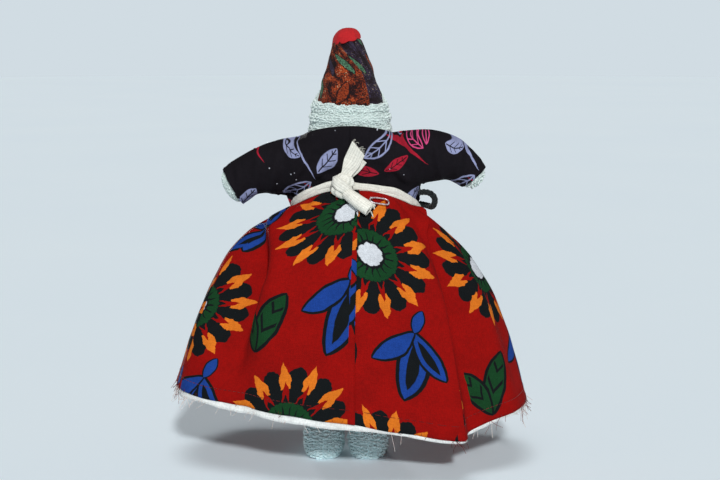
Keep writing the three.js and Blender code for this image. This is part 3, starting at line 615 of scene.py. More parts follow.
def printed_cell(w, vector, size, amount, width, height):
    """A place in the repeat of a print whose edges waver."""
    wavering = hand_printed(w, vector, size, amount)
    return w.group(half_drop(), {"Vector": wavering, "Width": width, "Height": height})["Vector"]


def leaf_ribs(w, leaf, count, lean):
    """How near a point of a leaf is to one of its side ribs."""
    return w.math("PINGPONG", w.math("MULTIPLY_ADD", leaf["Along"], count, w.times(leaf["Vein"], lean)), 1)


def print_group(name, build, inks, extra=()):
    """The node group of a print, with an input for each of its inks."""
    inputs = [("Vector", "Vector", None), *extra, *((ink, "Color", (1, 1, 1)) for ink in inks)]
    return shader_group(name, inputs, [("Color", "Color")], build)


def petal_edge(w, radius, angle, count, inner, outer, narrow, turned, pointed):
    """Distance over the edge of a ring of round or pointed petals, below 0 inside."""
    turns = w.math("MULTIPLY_ADD", angle, count / TURN, turned)
    off = w.times(w.minus(w.math("FRACT", turns), 0.5), 2 / narrow)
    square = off if pointed else w.times(off, off)
    rest = w.math("MAXIMUM", w.minus(1.0, w.math("ABSOLUTE", square)), 0.0)
    reach = w.math("MULTIPLY_ADD", w.math("POWER", rest, 0.8 if pointed else 0.5), outer - inner, inner)
    return w.minus(radius, reach)


def skirt_print():
    """Big daisies with flame petals, blue leaf clusters and green leaves, in a half-drop repeat."""

    def build(w, given):
        at = printed_cell(w, given["Vector"], 0.09, 1.1, 92.0, 136.0)
        colour = given["Ground"]
        for place, angle, length, width, bend, ink, core in [
            ((24, -18), -104, 44, 17, 0.16, "Spray", "Dark"), ((24, -18), -58, 33, 12, -0.1, "Spray", "Dark"),
            ((24, -18), -146, 34, 11, 0.14, "Spray", "Spray"), ((24, -18), 72, 15, 7, 0.0, "Spray", "Spray"),
            ((-34, -64), 62, 40, 14, 0.14, "Leaf", "Leaf"), ((-34, -64), 118, 34, 12, -0.16, "Leaf", "Leaf"),
        ]:
            leaf = leaf_at(w, at, place, angle, length, width, bend)
            colour = w.mix(w.below(leaf["Edge"], 0.13, 0.015), colour, given["Dark"])
            colour = w.mix(w.below(leaf["Edge"], -0.02, 0.015), colour, given[ink])
            colour = w.mix(w.below(leaf["Edge"], -0.27, 0.015), colour, given[core])
            rib = leaf_ribs(w, leaf, 6.0, -3)
            if ink == "Leaf":
                veins = w.times(w.below(rib, 0.22, 0.06), w.below(leaf["Edge"], -0.08, 0.02))
                colour = w.mix(veins, colour, given["Dark"])
        flower = w.add("ShaderNodeVectorMath", {0: at, 1: (-3, 28, 0)}, operation="SUBTRACT").outputs[0]
        spot = w.parts(hand_printed(w, flower, 0.28, 1.2))
        radius = w.math("SQRT", w.plus(w.times(spot["X"], spot["X"]), w.times(spot["Y"], spot["Y"])))
        angle = w.math("ARCTAN2", spot["Y"], spot["X"])
        for count, inner, outer, narrow, turned, pointed, ink in [
            (12, 24, 38, 0.9, 0.5, False, "Dark"), (12, 17, 41, 1.0, 0.0, True, "Petal"),
            (12, 25, 34, 0.56, 0.5, False, "Dark"), (12, 14, 30, 0.62, 0.0, True, "Ground"),
            (24, 17.5, 22, 0.8, 0.5, True, "Dark"), (36, 16.2, 17.2, 1.0, 0.0, False, "Leaf"),
            (18, 8, 15, 0.4, 0.0, True, "Dark"), (20, 8.8, 9.4, 1.0, 0.0, False, "Dark"),
            (9, 6.6, 7.6, 1.0, 0.0, False, "Disc"),
        ]:
            edge = petal_edge(w, radius, angle, count, inner, outer, narrow, turned, pointed)
            colour = w.mix(w.below(edge, 0.0, 0.3), colour, given[ink])
        return {"Color": colour}

    return print_group("skirt_print", build, ("Ground", "Dark", "Petal", "Leaf", "Spray", "Disc"))


def blouse_print():
    """Pale veined leaves, pink crescents and small dots on a dark ground."""

    def build(w, given):
        at = printed_cell(w, given["Vector"], 0.2, 0.6, 52.0, 64.0)
        dots = w.add("ShaderNodeTexVoronoi", {"Vector": given["Vector"], "Scale": 0.14}).outputs["Distance"]
        colour = w.mix(w.below(dots, 0.06, 0.02), given["Ground"], given["Dot"])
        for place, angle, length, width, bend, ink, open_leaf in [
            ((-22, -24), 38, 34, 1.6, 0.35, "Deep", 0), ((12, 26), -120, 30, 1.3, -0.3, "Pale", 0),
            ((-4, 6), 126, 21, 10, 0.08, "Pale", 0), ((0, -2), -36, 23, 11, -0.08, "Pale", 1),
            ((19, 20), -160, 13, 6.5, 0.16, "Pale", 0), ((-21, -12), 82, 16, 7, 0.12, "Pink", 1),
            ((-19, -14), 38, 15, 6.5, -0.1, "Pink", 1), ((9, -27), 24, 22, 8, -0.2, "Deep", 0),
            ((6, -25), 150, 17, 7, 0.1, "Deep", 0),
        ]:
            leaf = leaf_at(w, at, place, angle, length, width, bend)
            inside = w.below(leaf["Edge"], 0.0, 0.03)
            rib = leaf_ribs(w, leaf, 8.0, -4)
            line = w.math("MAXIMUM", w.below(rib, 0.16, 0.07), w.below(leaf["Vein"], 0.04, 0.02))
            hollow = w.times(w.below(leaf["Edge"], -0.11, 0.02), 1.0 if open_leaf else line)
            shown = w.times(inside, w.minus(1.0, hollow))
            if open_leaf:
                vein = w.times(w.below(leaf["Edge"], -0.1, 0.02), line)
                shown = w.math("MAXIMUM", shown, w.times(vein, inside))
            colour = w.mix(shown if width > 2 else inside, colour, given[ink])
        return {"Color": colour}

    return print_group("blouse_print", build, ("Ground", "Pale", "Pink", "Deep", "Dot"))


def hood_print():
    """Dark mottled cloth, speckled all over, with a few leaves; Side goes from its warm to its cool part."""

    def build(w, given):
        vector = given["Vector"]
        cloud = w.noise(vector, 0.13, 4.0, 0.6, 0.5)
        grain = w.noise(vector, 1.1, 3.0, 0.75)
        mottle = w.math("MULTIPLY_ADD", grain, 0.9, cloud)
        warm = w.mix(w.spread(mottle, 0.86, 1.08), given["Dark"], given["Warm"])
        warm = w.mix(w.spread(mottle, 1.06, 1.22), warm, given["Rust"])
        cool = w.mix(w.spread(mottle, 0.86, 1.14), given["Dark"], given["Cool"])
        colour = w.mix(given["Side"], warm, cool)
        at = printed_cell(w, vector, 0.3, 0.8, 25.0, 33.0)
        for place, angle, length, width, ink in [
            ((-8, -12), 62, 15, 6, "Leaf"), ((5, 3), 116, 15, 6, "Warm"), ((8, -14), 80, 13, 5, "Cool"),
        ]:
            leaf = leaf_at(w, at, place, angle, length, width, 0.12)
            colour = w.mix(w.below(leaf["Edge"], 0.08, 0.05), colour, given["Dark"])
            inner = w.times(w.below(leaf["Edge"], -0.05, 0.05), w.spread(grain, 0.34, 0.56))
            colour = w.mix(inner, colour, given[ink])
        pits = w.add("ShaderNodeTexVoronoi", {"Vector": vector, "Scale": 0.95}).outputs["Distance"]
        colour = w.mix(w.times(w.below(pits, 0.3, 0.12), 0.75), colour, given["Dark"])
        flecks = w.add("ShaderNodeTexVoronoi", {"Vector": vector, "Scale": 0.8}).outputs["Distance"]
        few = w.times(w.below(flecks, 0.2, 0.06), w.spread(cloud, 0.48, 0.6))
        return {"Color": w.mix(few, colour, given["Fleck"])}

    inks = ("Dark", "Warm", "Rust", "Cool", "Leaf", "Fleck")
    return print_group("hood_print", build, inks, [("Side", "Float", 0.0)])


def new_material(name, roughness, sheen=0.0, metallic=0.0):
    """A material with its wiring and its Principled shader."""
    made = bpy.data.materials.new(name)
    made.use_nodes = True
    shader = made.node_tree.nodes["Principled BSDF"]
    shader.inputs["Roughness"].default_value = roughness
    shader.inputs["Metallic"].default_value = metallic
    shader.inputs["Specular IOR Level"].default_value = 0.5 if metallic else 0.12
    shader.inputs["Sheen Weight"].default_value = sheen
    shader.inputs["Sheen Roughness"].default_value = 0.5
    return made, Wiring(made.node_tree), shader


def uv_map(w):
    return w.add("ShaderNodeUVMap", uv_map="UVMap").outputs[0]


def on_object(w):
    return w.add("ShaderNodeTexCoord").outputs["Object"]


def add_bump(w, shader, height, distance):
    bump = w.add("ShaderNodeBump", {"Height": height, "Distance": distance * MM, "Strength": 1.0})
    w.feed(shader.inputs["Normal"], bump.outputs[0])


def woven_material(name, paint, roughness, sheen, pitch, relief):
    """Printed or plain woven cotton: paint(wiring, vector in millimetres) gives its colour."""
    made, w, shader = new_material(name, roughness, sheen)
    vector = uv_map(w)
    weave = w.group(cloth_weave(), {"Vector": vector, "Pitch": pitch})
    toned = w.group(worn_tone(), {"Vector": vector, "Color": paint(w, vector), "Scale": 0.05, "Amount": 0.1})
    value = w.spread(weave["Shade"], 0, 1, 0.9, 1.08)
    shade = w.add("ShaderNodeHueSaturation", {"Color": toned["Color"], "Value": value})
    w.paint(shader, shade.outputs[0])
    add_bump(w, shader, weave["Height"], relief)
    return made


def terry_material(name, colour, depth):
    """Cotton terry: soft yarn, a little uneven in colour. A depth below 1 darkens it as painted shade, for
    the ground below the loops.
    """
    made, w, shader = new_material(name, 0.95, 0.15)
    place = on_object(w)
    fuzz = w.noise(place, 900, 3.0, 0.6)
    patch = w.noise(place, 420, 2.0)
    tone = w.spread(w.math("MULTIPLY_ADD", fuzz, 0.5, patch), 0.55, 0.95)
    light = getattr(settings().terry, colour)
    dark, pale = ([part * share for part in light] for share in (TERRY_DARK * depth, depth))
    w.paint(shader, w.mix(tone, dark, pale))
    add_bump(w, shader, fuzz, 0.25)
    return made


def thread_material(name, colour, dark):
    made, w, shader = new_material(name, 0.75, 0.2)
    twist = w.noise(on_object(w), 1500, 2.0)
    w.paint(shader, w.mix(w.spread(twist, 0.35, 0.65), screen(*dark), screen(*colour)))
    add_bump(w, shader, twist, 0.05)
    return made


def wool_material(name):
    made, w, shader = new_material(name, 0.9, 0.3)
    fibre = w.noise(uv_map(w), 2.4, 4.0, 0.7)
    tone = w.spread(fibre, 0.35, 0.75)
    w.paint(shader, w.mix(tone, screen(12, 16, 17), screen(44, 54, 56)))
    add_bump(w, shader, fibre, 0.3)
    return made


def wire_material(name):
    made, w, shader = new_material(name, 0.35, metallic=0.9)
    scratch = w.noise(on_object(w), 700, 4.0, 0.7)
    tone = w.spread(scratch, 0.3, 0.7)
    w.paint(shader, w.mix(tone, screen(168, 148, 150), screen(214, 205, 212)))
    w.feed(shader.inputs["Roughness"], w.spread(scratch, 0.3, 0.7, 0.28, 0.5))
    add_bump(w, shader, scratch, 0.03)
    return made


def paper_material(name):
    made, w, shader = new_material(name, 0.9)
    grain = w.noise(on_object(w), 3.0, 2.0)
    shader.inputs["Specular IOR Level"].default_value = 0
    w.paint(shader, w.mix(grain, screen(233, 246, 254), screen(237, 249, 255)))
    return made


def plain(*rgb):
    """A cloth dyed in one colour."""
    return lambda w, vector: screen(*rgb)


def chosen_inks(group, *names):
    return {name.capitalize(): getattr(group, name) for name in names}


def paint_skirt(w, vector):
    inks = chosen_inks(settings().skirt, "ground", "dark", "petal", "leaf", "spray", "disc")
    return w.group(skirt_print(), {"Vector": vector, **inks})["Color"]


def paint_blouse(w, vector):
    inks = chosen_inks(settings().blouse, "ground", "pale", "pink", "deep")
    return w.group(blouse_print(), {"Vector": vector, **inks, "Dot": screen(200, 204, 214)})["Color"]


def paint_hood(w, vector):
    side = w.spread(w.parts(vector)["X"], 40, 90)
    inks = {"Dark": screen(30, 20, 22), "Warm": screen(150, 60, 30), "Rust": screen(190, 92, 44),
            "Cool": screen(62, 54, 76), "Leaf": screen(78, 124, 96), "Fleck": screen(196, 176, 140)}
    return w.group(hood_print(), {"Vector": vector, "Side": side, **inks})["Color"]


def paint_tape(w, vector):
    rib = w.math("PINGPONG", w.parts(vector)["Y"], 0.55)
    return w.mix(w.below(rib, 0.12, 0.1), screen(230, 229, 219), screen(208, 207, 196))


# Every material of the doll and its stage: how it is made and what that takes. For a woven cloth that is its
# paint, roughness, sheen, pitch of the yarns and relief in millimetres, for terry the chosen colour and how
# far it is darkened as painted shade, and for a thread its colour and its dark side.
MATERIALS = {
    "skirt_cotton": (woven_material, paint_skirt, 0.9, 0.0, 0.7, 0.1),
    "blouse_cotton": (woven_material, paint_blouse, 0.9, 0.0, 0.6, 0.1),
    "hood_cotton": (woven_material, paint_hood, 0.95, 0.03, 0.5, 0.2),
    "red_cotton": (woven_material, plain(186, 36, 40), 0.9, 0.05, 0.5, 0.1),
    "petticoat_cotton": (woven_material, plain(228, 231, 229), 0.9, 0.1, 0.7, 0.12),
    "petticoat_inside": (woven_material, plain(140, 32, 26), 0.95, 0.0, 0.7, 0.12),
    "white_tape": (woven_material, paint_tape, 0.85, 0.15, 0.45, 0.14),
    "calico": (woven_material, plain(222, 214, 196), 0.95, 0.1, 0.6, 0.12),
    "terry_pale": (terry_material, "light", 1),
    # The head's and arms' terry ground is darkened to 0.82 as painted shade between the loops.
    "terry_pale_ground": (terry_material, "light", 0.82),
    "terry_feet": (terry_material, "shade", 1),
    "terry_feet_ground": (terry_material, "shade", 1),
    "red_thread": (thread_material, (124, 12, 14), (70, 6, 9)),
    "white_thread": (thread_material, (226, 222, 216), (196, 176, 172)),
    "eye_thread": (thread_material, (30, 32, 36), (10, 11, 13)),
    "mouth_thread": (thread_material, (186, 40, 52), (140, 24, 36)),
    "black_wool": (wool_material,),
    "steel_wire": (wire_material,),
    "studio_paper": (paper_material,),
}
MADE = {}


def material(name):
    """One of the materials, made when it is first asked for."""
    if name not in MADE:
        make, *values = MATERIALS[name]
        MADE[name] = make(name, *values)
    return MADE[name]


# Settings that a user would change


def dye(name, description, *rgb):
    """A colour that a user may change."""
    return FloatVectorProperty(name=name, description=description, subtype="COLOR", default=screen(*rgb),
                               min=0, max=1)


class SkirtSettings(bpy.types.PropertyGroup):
    ground: dye("Ground", "Colour of the skirt's cloth", 138, 6, 3)
    dark: dye("Dark ink", "Outlines of the print", 14, 18, 20)
    petal: dye("Petals", "Petals of the daisies", 208, 110, 28)
    leaf: dye("Leaves", "Green leaves", 17, 60, 30)
    spray: dye("Sprays", "Blue leaf sprays", 24, 60, 136)
    disc: dye("Discs", "White middles of the daisies", 196, 201, 207)
    threads: IntProperty(name="Loose threads", description="Threads that hang from the two hems",
                         default=120, min=0, max=600)
    pleat: FloatProperty(name="Pleat", description="How far the pleat at the corner stands out",
                         default=0.003, min=0, max=0.005, subtype="DISTANCE", unit="LENGTH")


class BlouseSettings(bpy.types.PropertyGroup):
    ground: dye("Ground", "Colour of the blouse's cloth", 20, 17, 22)
    pale: dye("Pale leaves", "Veined leaves", 142, 148, 184)
    pink: dye("Pink leaves", "Narrow leaves", 206, 74, 128)
    deep: dye("Red leaves", "Darker leaves", 158, 26, 46)


class TerrySettings(bpy.types.PropertyGroup):
    light: dye("Terry", "Colour of the looped cotton", 224, 238, 235)
    shade: dye("Terry, feet", "Colour of the looped cotton on the feet", 226, 251, 254)


class DollSettings(bpy.types.PropertyGroup):
    skirt: PointerProperty(type=SkirtSettings)
    blouse: PointerProperty(type=BlouseSettings)
    terry: PointerProperty(type=TerrySettings)


def settings():
    return bpy.context.scene.rag_doll


# Lines that several pieces share


def band_z(angle):
    return around(WAIST_Z, WAIST_BACK_RISE, WAIST_FRONT_RISE, angle) + math.cos(angle)


def neckline_z(angle):
    return around(NECKLINE_SIDE_Z, NECKLINE_BACK_RISE, NECKLINE_FRONT_RISE, angle)


# The hem's height by direction. It hangs lowest at its corner.
CORNER_ANGLE = 120
CORNER_Z = 27
HEM_HEIGHTS = through(
    (-35, 44), (0, 51.5), (52, 46), (88, 39.3), (98, 34.5), (107, 31), (CORNER_ANGLE, CORNER_Z),
    (CORNER_ANGLE + 8, CORNER_Z + 2.2), (CORNER_ANGLE + 16, CORNER_Z + 5), (CORNER_ANGLE + 30, CORNER_Z + 10),
    (180, 39.5), (225, 36), (270, 35), (325, 44), (360, 51.5), (412, 46),
)

# Folds of the skirt: direction, how far each stands out at the hem, and its width, in degrees
FOLDS = [
    (52, -7, 13), (90, 1.5, 12), (CORNER_ANGLE, 8, 8), (CORNER_ANGLE + 17, -5, 10), (208, 4, 12),
    (232, -5, 11), (256, 4.5, 11), (282, -4.5, 12), (308, 4.5, 12), (334, -3, 12),
]


def fold_out(angle, drop):
    here = math.degrees(angle)
    out = 0
    for at, far, wide in FOLDS:
        out += far * mound(apart(here, at), wide)
    return out * smooth(drop, 0.02, 1) ** 0.8


def bell(drop):
    """How far out and down the skirt is, both 0 to 1, at a share of its length."""
    t = min(drop, 1)
    x = 3 * 0.55 * t * (1 - t) ** 2 + 3 * 0.8 * t ** 2 * (1 - t) + t ** 3
    y = 3 * 0.18 * t * (1 - t) ** 2 + 3 * 0.52 * t ** 2 * (1 - t) + t ** 3
    if drop > 1:
        ahead = Vector((0.2, 0.48)).normalized() * (drop - 1)
        return x + ahead.x, y + ahead.y
    return x, y


def skirt_line(angle, drop):
    x, y = bell(drop)
    x += SKIRT_LEFT_FULLNESS * ((1 + math.cos(angle)) / 2) ** 2 * x * (1 - x) ** 2
    top = band_z(angle) - BAND_WIDTH / 2 - SEAM_GAP
    point = oval(angle, lerp(WAIST_HALF_WIDTH, HEM_HALF_WIDTH, x), lerp(WAIST_HALF_DEPTH, HEM_HALF_DEPTH, x),
                 lerp(WAIST_SQUARENESS, HEM_SQUARENESS, x))
    out = point.normalized()
    point += out * fold_out(angle, drop)
    point.x += lerp(WAIST_X, 0, x)
    point.y += HEM_Y * x
    point.z = lerp(top, HEM_HEIGHTS(math.degrees(angle) % 360), y)
    return point, out


def skirt_normal(angle, drop):
    point, out = skirt_line(angle, drop)
    above = skirt_line(angle, max(drop - 0.02, 0))[0]
    run = skirt_line(angle, drop + 0.02)[0] - above
    return point, (out * -run.z + UP * run.dot(out)).normalized()


def skirt_point(angle, drop, depth):
    point, normal = skirt_normal(angle, drop)
    return point - normal * depth


def back_angle(x):
    return math.acos((x - WAIST_X) / WAIST_HALF_WIDTH)


def band_back(x):
    angle = back_angle(x)
    point = oval(angle, WAIST_HALF_WIDTH, WAIST_HALF_DEPTH, WAIST_SQUARENESS)
    return Vector((x, point.y, band_z(angle)))


KNOT_AT = band_back(KNOT_X) + Vector((0, KNOT_DEPTH / 2 + SEAM_GAP, 0))


# Hip cord


CORD_POINTS = [
    (-43.4, 4, 175), (-46.4, 5, 175.4), (-50, 5.5, 174.6), (-52.6, 5.2, 172), (-53, 4.2, 169),
    (-52.2, 2.4, 166.4), (-51, -1.2, 165.2), (-49.4, -5, 165.2), (-46.8, -7.6, 165.6), (-44, -7.4, 166.2),
]
BRAID_PITCH = 7
BRAID_WIDE = 1.05
BRAID_DEEP = 0.55
STRAND_RADIUS = 1.0


class RAGDOLL_OT_hip_cord(bpy.types.Operator):
    """Braid the three-strand cord loop at the right hip"""
    bl_idname = "ragdoll.hip_cord"
    bl_label = "Braid Hip Cord"

    def execute(self, context):
        middle = line_through(CORD_POINTS)
        steps = 60
        centres = [middle(i / steps) for i in range(steps + 1)]
        length = sum((b - a).length for a, b in zip(centres, centres[1:]))
        bm = bmesh.new()
        for strand in range(3):
            def path(place, strand=strand):
                ahead = heading(middle, place, 0.01)
                wide = ahead.cross(Vector((0.2, 1, 0.1))).normalized()
                phase = TURN * (place * length / BRAID_PITCH + strand / 3)
                return (middle(place) + wide * BRAID_WIDE * math.sin(phase)
                        + ahead.cross(wide) * BRAID_DEEP * math.sin(2 * phase))

            tube(bm, path, STRAND_RADIUS, 10, 70, 3)
        push_out(bm, lambda co: 0.12 * ripple(co.x, co.y, co.z, 0.9, 4))
        braid = carried(finish_piece("cord_braid", bm, "black_wool"), "trunk", "cord_wool", "hip_cord")
        return {"FINISHED"}


# Skirt and petticoat


SEAM_AT = 90
PLEAT_REACH = 9
SEAM_REACH = 4
SEAM_DEPTH = 0.55
GORE_EDGES = [-51, 18, SEAM_AT, CORNER_ANGLE, 205, 257, 309]
# Where each gore was cut out of the printed cloth: across and down, from the print's own origin
GORE_SHIFT = [(12, 20), (-30, 66), (38, -12), (2, 48), (-22, 4), (30, 80), (-6, -30), (20, 36)]
HEM_STITCH = 6.5
HEM_STITCHES = 170
SKIRT_LENGTH = 150
SKIRT_COLUMN = 1.0
FOLD_COLUMN = 0.36
SKIRT_ROWS = 104

# A pleat's section: how far along its reach the cloth has gone, and how far out it stands
PLEAT_ALONG = through((-1, -1), (-0.32, 0.08), (-0.14, 0.05), (0.12, -0.34), (0.28, -0.26), (1, 1))
PLEAT_OUT = through((-1, 0), (-0.34, 0.8), (-0.2, 0.55), (0.1, -0.75), (0.3, -0.95), (1, 0))

# How far round from the hem's corner the pleat lies: it starts at the side of the waist
PLEAT_DRIFT = through((0, 40), (0.07, 30), (0.2, 13), (0.28, 9.7), (0.42, 6.9), (0.54, 3.8), (0.65, 1),
                      (0.8, 0), (1, 0.4))


def skirt_columns():
    """Directions of the skirt's columns, closer together where the cloth is folded."""
    here, found = SEAM_AT - 180.0, []
    end = here + 360
    while here < end - 0.2:
        found.append(here)
        near = abs(here - CORNER_ANGLE) < PLEAT_REACH or abs(here - SEAM_AT) < SEAM_REACH
        beside = 8 < here < 56
        here += FOLD_COLUMN if near else SKIRT_COLUMN / 2 if beside else SKIRT_COLUMN
    return found + [end]


def folded(degrees, drop, pleat):
    """Where a column lies and how far it stands out, once the pleat and the back seam are folded in."""
    pleat *= 1 - 0.8 * smooth(drop, 0.8, 1)
    for at, reach, depth in ((CORNER_ANGLE, PLEAT_REACH, pleat), (SEAM_AT, SEAM_REACH, SEAM_DEPTH)):
        share = (degrees - at) / reach
        if abs(share) < 1:
            degrees = at + reach * PLEAT_ALONG(share)
            out = depth * PLEAT_OUT(share)
            break
    else:
        out = 0.0
    away = degrees - CORNER_ANGLE
    wide = 18 if away < 0 else 60
    return degrees + PLEAT_DRIFT(drop) * mound(away, wide), out


# Sharper valleys and ridges: direction, how far out, width in degrees, and where they start and end
VALLEYS = [
    (60, 2.5, 7, 0.1, 0.9), (CORNER_ANGLE + 9, -4.5, 5, 0.0, 1.3), (76, -1.6, 5, 0.1, 0.8),
    (103, -1.5, 6, 0.05, 0.7), (165, -3, 8, 0.1, 1.0), (215, -3.5, 6, 0.1, 1.1), (262, 3, 7, 0.1, 1.2),
    (292, -4, 6, 0.1, 1.1), (20, 2, 9, 0.2, 1),
]

# The deep fold at the left, steep on the side of the back panel: its direction and depth down the skirt, and
# the ridge that stands beside it
LEFT_FOLD_AT = through((0.08, 4), (0.2, 26), (0.34, 36.5), (0.46, 41), (0.56, 39.5), (0.7, 39), (0.95, 43))
LEFT_FOLD_DEPTH = through((0.05, 0), (0.2, 8), (0.36, 17), (0.58, 18), (0.78, 12), (0.98, 1.6))
LEFT_FOLD_STEEP = 8.5
LEFT_FOLD_GENTLE = 13
LEFT_RIDGE_AWAY = 16.5
LEFT_RIDGE_WIDTH = 6.5
LEFT_RIDGE_SHARE = 0.24


def valley_out(angle, drop):
    here = math.degrees(angle)
    away = apart(here, LEFT_FOLD_AT(drop))
    depth = LEFT_FOLD_DEPTH(drop)
    out = -depth * mound(away, LEFT_FOLD_STEEP if away > 0 else LEFT_FOLD_GENTLE)
    out += LEFT_RIDGE_SHARE * depth * mound(away - LEFT_RIDGE_AWAY, LEFT_RIDGE_WIDTH)
    for at, far, wide, start, end in VALLEYS:
        away = apart(here, at)
        if abs(away) < 3 * wide:
            fade = smooth(drop, start, start + 0.4) * (1 - smooth(drop, end - 0.25, end + 0.1))
            out += far * mound(away, wide) * fade
    return out


def cloth_ripple(angle, drop):
    """The skirt's finer unevenness: gathers under the band, then long soft waves."""
    gather = math.sin(angle * 31 + 3 * ripple_round(angle, 40, 0, 22, 3)) * 0.75
    gather *= 1 - smooth(drop, 0.0, 0.2)
    tuck = ripple_round(angle, 40, drop * 20, 7, 8) * 1.2 * (1 - smooth(drop, 0.03, 0.4))
    wave = ripple_round(angle, 40, drop * 30, 16, 1) * 2.0 * smooth(drop, 0.1, 0.7)
    crinkle = ripple_round(angle, 80, drop * 120, 12, 5) * 0.45 * smooth(drop, 0.05, 0.2)
    return gather + tuck + wave + crinkle


def bell_grid(bm, columns, rows, face):
    """A bell of cloth from face(degrees, drop), charted gore by gore. Returns its flat area."""
    grid = [[face(degrees, 1 - j / rows) for j in range(rows + 1)] for degrees in columns]
    last = len(columns) - 1
    arc = [[0.0] * (rows + 1) for _ in columns]
    down = [[0.0] * (rows + 1) for _ in columns]
    for i in range(1, last + 1):
        for j in range(rows + 1):
            arc[i][j] = arc[i - 1][j] + (grid[i][j] - grid[i - 1][j]).length
    for i in range(last + 1):
        for j in range(rows - 1, -1, -1):
            down[i][j] = down[i][j + 1] + (grid[i][j] - grid[i][j + 1]).length
    edges = sorted(e if e >= columns[0] else e + 360 for e in GORE_EDGES)
    edges = [e - 360 if e > columns[-1] else e for e in edges]
    gores = [sum(e <= degrees + 1e-6 for e in edges) for degrees in columns]
    middles = {}
    for gore in set(gores):
        members = [i for i, g in enumerate(gores) if g == gore]
        middles[gore] = members[len(members) // 2]

    def chart(i, j, first):
        gore = gores[first]
        middle = middles[gore]
        across, along = GORE_SHIFT[gore % len(GORE_SHIFT)]
        return (arc[i][j] - arc[middle][j] + across, -down[middle][j] + along)

    verts = bent_grid(bm, last, rows, lambda i, j: grid[i][j], chart)
    area = sum(face.calc_area() for face in bm.faces)
    weld(bm, verts)
    return area


def skirt_face(degrees, drop):
    pleat = settings().skirt.pleat / MM
    lying, stands = folded(degrees, drop, pleat)
    angle = math.radians(lying)
    seat = smooth(drop, 0.0, 0.03)
    point, normal = skirt_normal(angle, drop)
    edge = smooth(drop, 0.93, 1.0) * ripple_round(angle, 60, 0, 9, 7) * 0.7
    return point + normal * (stands + valley_out(angle, drop) + cloth_ripple(angle, drop) * seat) + UP * edge


def petticoat_face(degrees, drop):
    angle = math.radians(degrees)
    share = 0.85 - 0.4 * smooth(degrees, 88, 104) * (1 - smooth(degrees, 185, 215))
    longer = drop * (1 + PETTICOAT_DROP * share)
    point, normal = skirt_normal(angle, longer)
    beside = min(longer, 1)
    wave = cloth_ripple(angle, beside) * smooth(drop, 0.0, 0.03)
    edge = ripple_round(angle, 60, 0, 14, 2) * 1.8 + ripple_round(angle, 60, 0, 3, 9) * 0.5
    edge = smooth(drop, 0.9, 1.0) * edge + 0.6 * smooth(drop, 0.5, 1)
    pleat = 2.5 * mound(degrees - CORNER_ANGLE - PLEAT_DRIFT(beside), 7)
    under = 0.9 + 2.6 * smooth(drop, 0.0, 0.2) * (1 - smooth(drop, 0.85, 0.98))
    under += pleat * (1 - smooth(drop, 0.8, 1))
    return point + normal * (valley_out(angle, beside) + wave - under) + UP * edge


def hem_threads(bm, face, seed, longest, spots):
    """Loose threads along a hem. Each spot has a direction, a spread and how long its threads are."""
    draw = random.Random(seed)
    for _ in range(settings().skirt.threads):
        centre, wide, weight = draw.choice(spots)
        degrees = draw.gauss(centre, wide)
        start = face(degrees, 0.995)
        out = (start - face(degrees, 0.9)).normalized()
        side = (face(degrees + 1, 0.995) - start).normalized()
        length = draw.uniform(0.25, 1) ** 2 * longest * weight
        lean, curl, rise = draw.uniform(-1.2, 1.2), draw.uniform(-1, 1), draw.uniform(-0.7, 0.5)
        ahead = (out + side * lean + Vector((0, 0, rise))).normalized()
        bow = side.cross(ahead) * 0.4 + side * curl
        points = [start - out * 0.8, start, start + ahead * length * 0.5 + bow * length * 0.22,
                  start + ahead * length + bow * length * draw.uniform(-0.3, 0.5)]
        path = line_through(points)
        tube(bm, path, draw.uniform(0.1, 0.17), 4, 7)


def hem_stitches(bm, face):
    """The line of running stitches that holds the skirt's hem."""
    drop = 1 - HEM_STITCH / SKIRT_LENGTH
    for k in range(HEM_STITCHES):
        points = [face((k + share) / HEM_STITCHES * 360, drop) for share in (0, 0.3, 0.6)]
        tube(bm, line_through(points), 0.2, 4, 3)


class RAGDOLL_OT_skirt(bpy.types.Operator):
    """Sew the gathered skirt of printed cotton, with its pleat, back seam and loose threads"""
    bl_idname = "ragdoll.skirt"
    bl_label = "Sew Skirt"

    def execute(self, context):
        bm = bmesh.new()
        area = bell_grid(bm, skirt_columns(), SKIRT_ROWS, skirt_face)
        skirt = add_wall(finish_piece("skirt_cloth", bm, "skirt_cotton"), SKIRT_WALL)
        carried(skirt, "trunk", "skirt_cloth", "skirt")
        bm = bmesh.new()
        hem_threads(bm, skirt_face, 5, 15, [
            (10, 9, 1), (150, 20, 0.9), (100, 50, 0.3), (-20, 20, 0.8), (250, 60, 0.35),
            (CORNER_ANGLE, 3, 0.8), (178, 10, 1),
        ])
        hem_stitches(bm, skirt_face)
        fray = carried(finish_piece("skirt_threads", bm, "red_thread"), "trunk", "skirt_cloth")
        return {"FINISHED"}


class RAGDOLL_OT_petticoat(bpy.types.Operator):
    """Sew the white petticoat that shows below the skirt"""
    bl_idname = "ragdoll.petticoat"
    bl_label = "Sew Petticoat"

    def execute(self, context):
        bm = bmesh.new()
        columns = [i * 1.2 for i in range(301)]
        area = bell_grid(bm, columns, 64, petticoat_face)
        lining = finish_piece("petticoat_cloth", bm, "petticoat_cotton", "petticoat_inside")
        add_wall(lining, PETTICOAT_WALL)
        lining.modifiers["wall"].material_offset = 1
        carried(lining, "trunk", "petticoat_cloth", "petticoat")
        bm = bmesh.new()
        hem_threads(bm, petticoat_face, 11, 13, [
            (12, 14, 1), (165, 16, 1), (90, 50, 0.5), (-25, 25, 0.9), (260, 60, 0.4), (40, 20, 0.6),
        ])
        fray = carried(finish_piece("petticoat_threads", bm, "white_thread"), "trunk", "petticoat_cloth")
        return {"FINISHED"}


# Blouse and sleeves


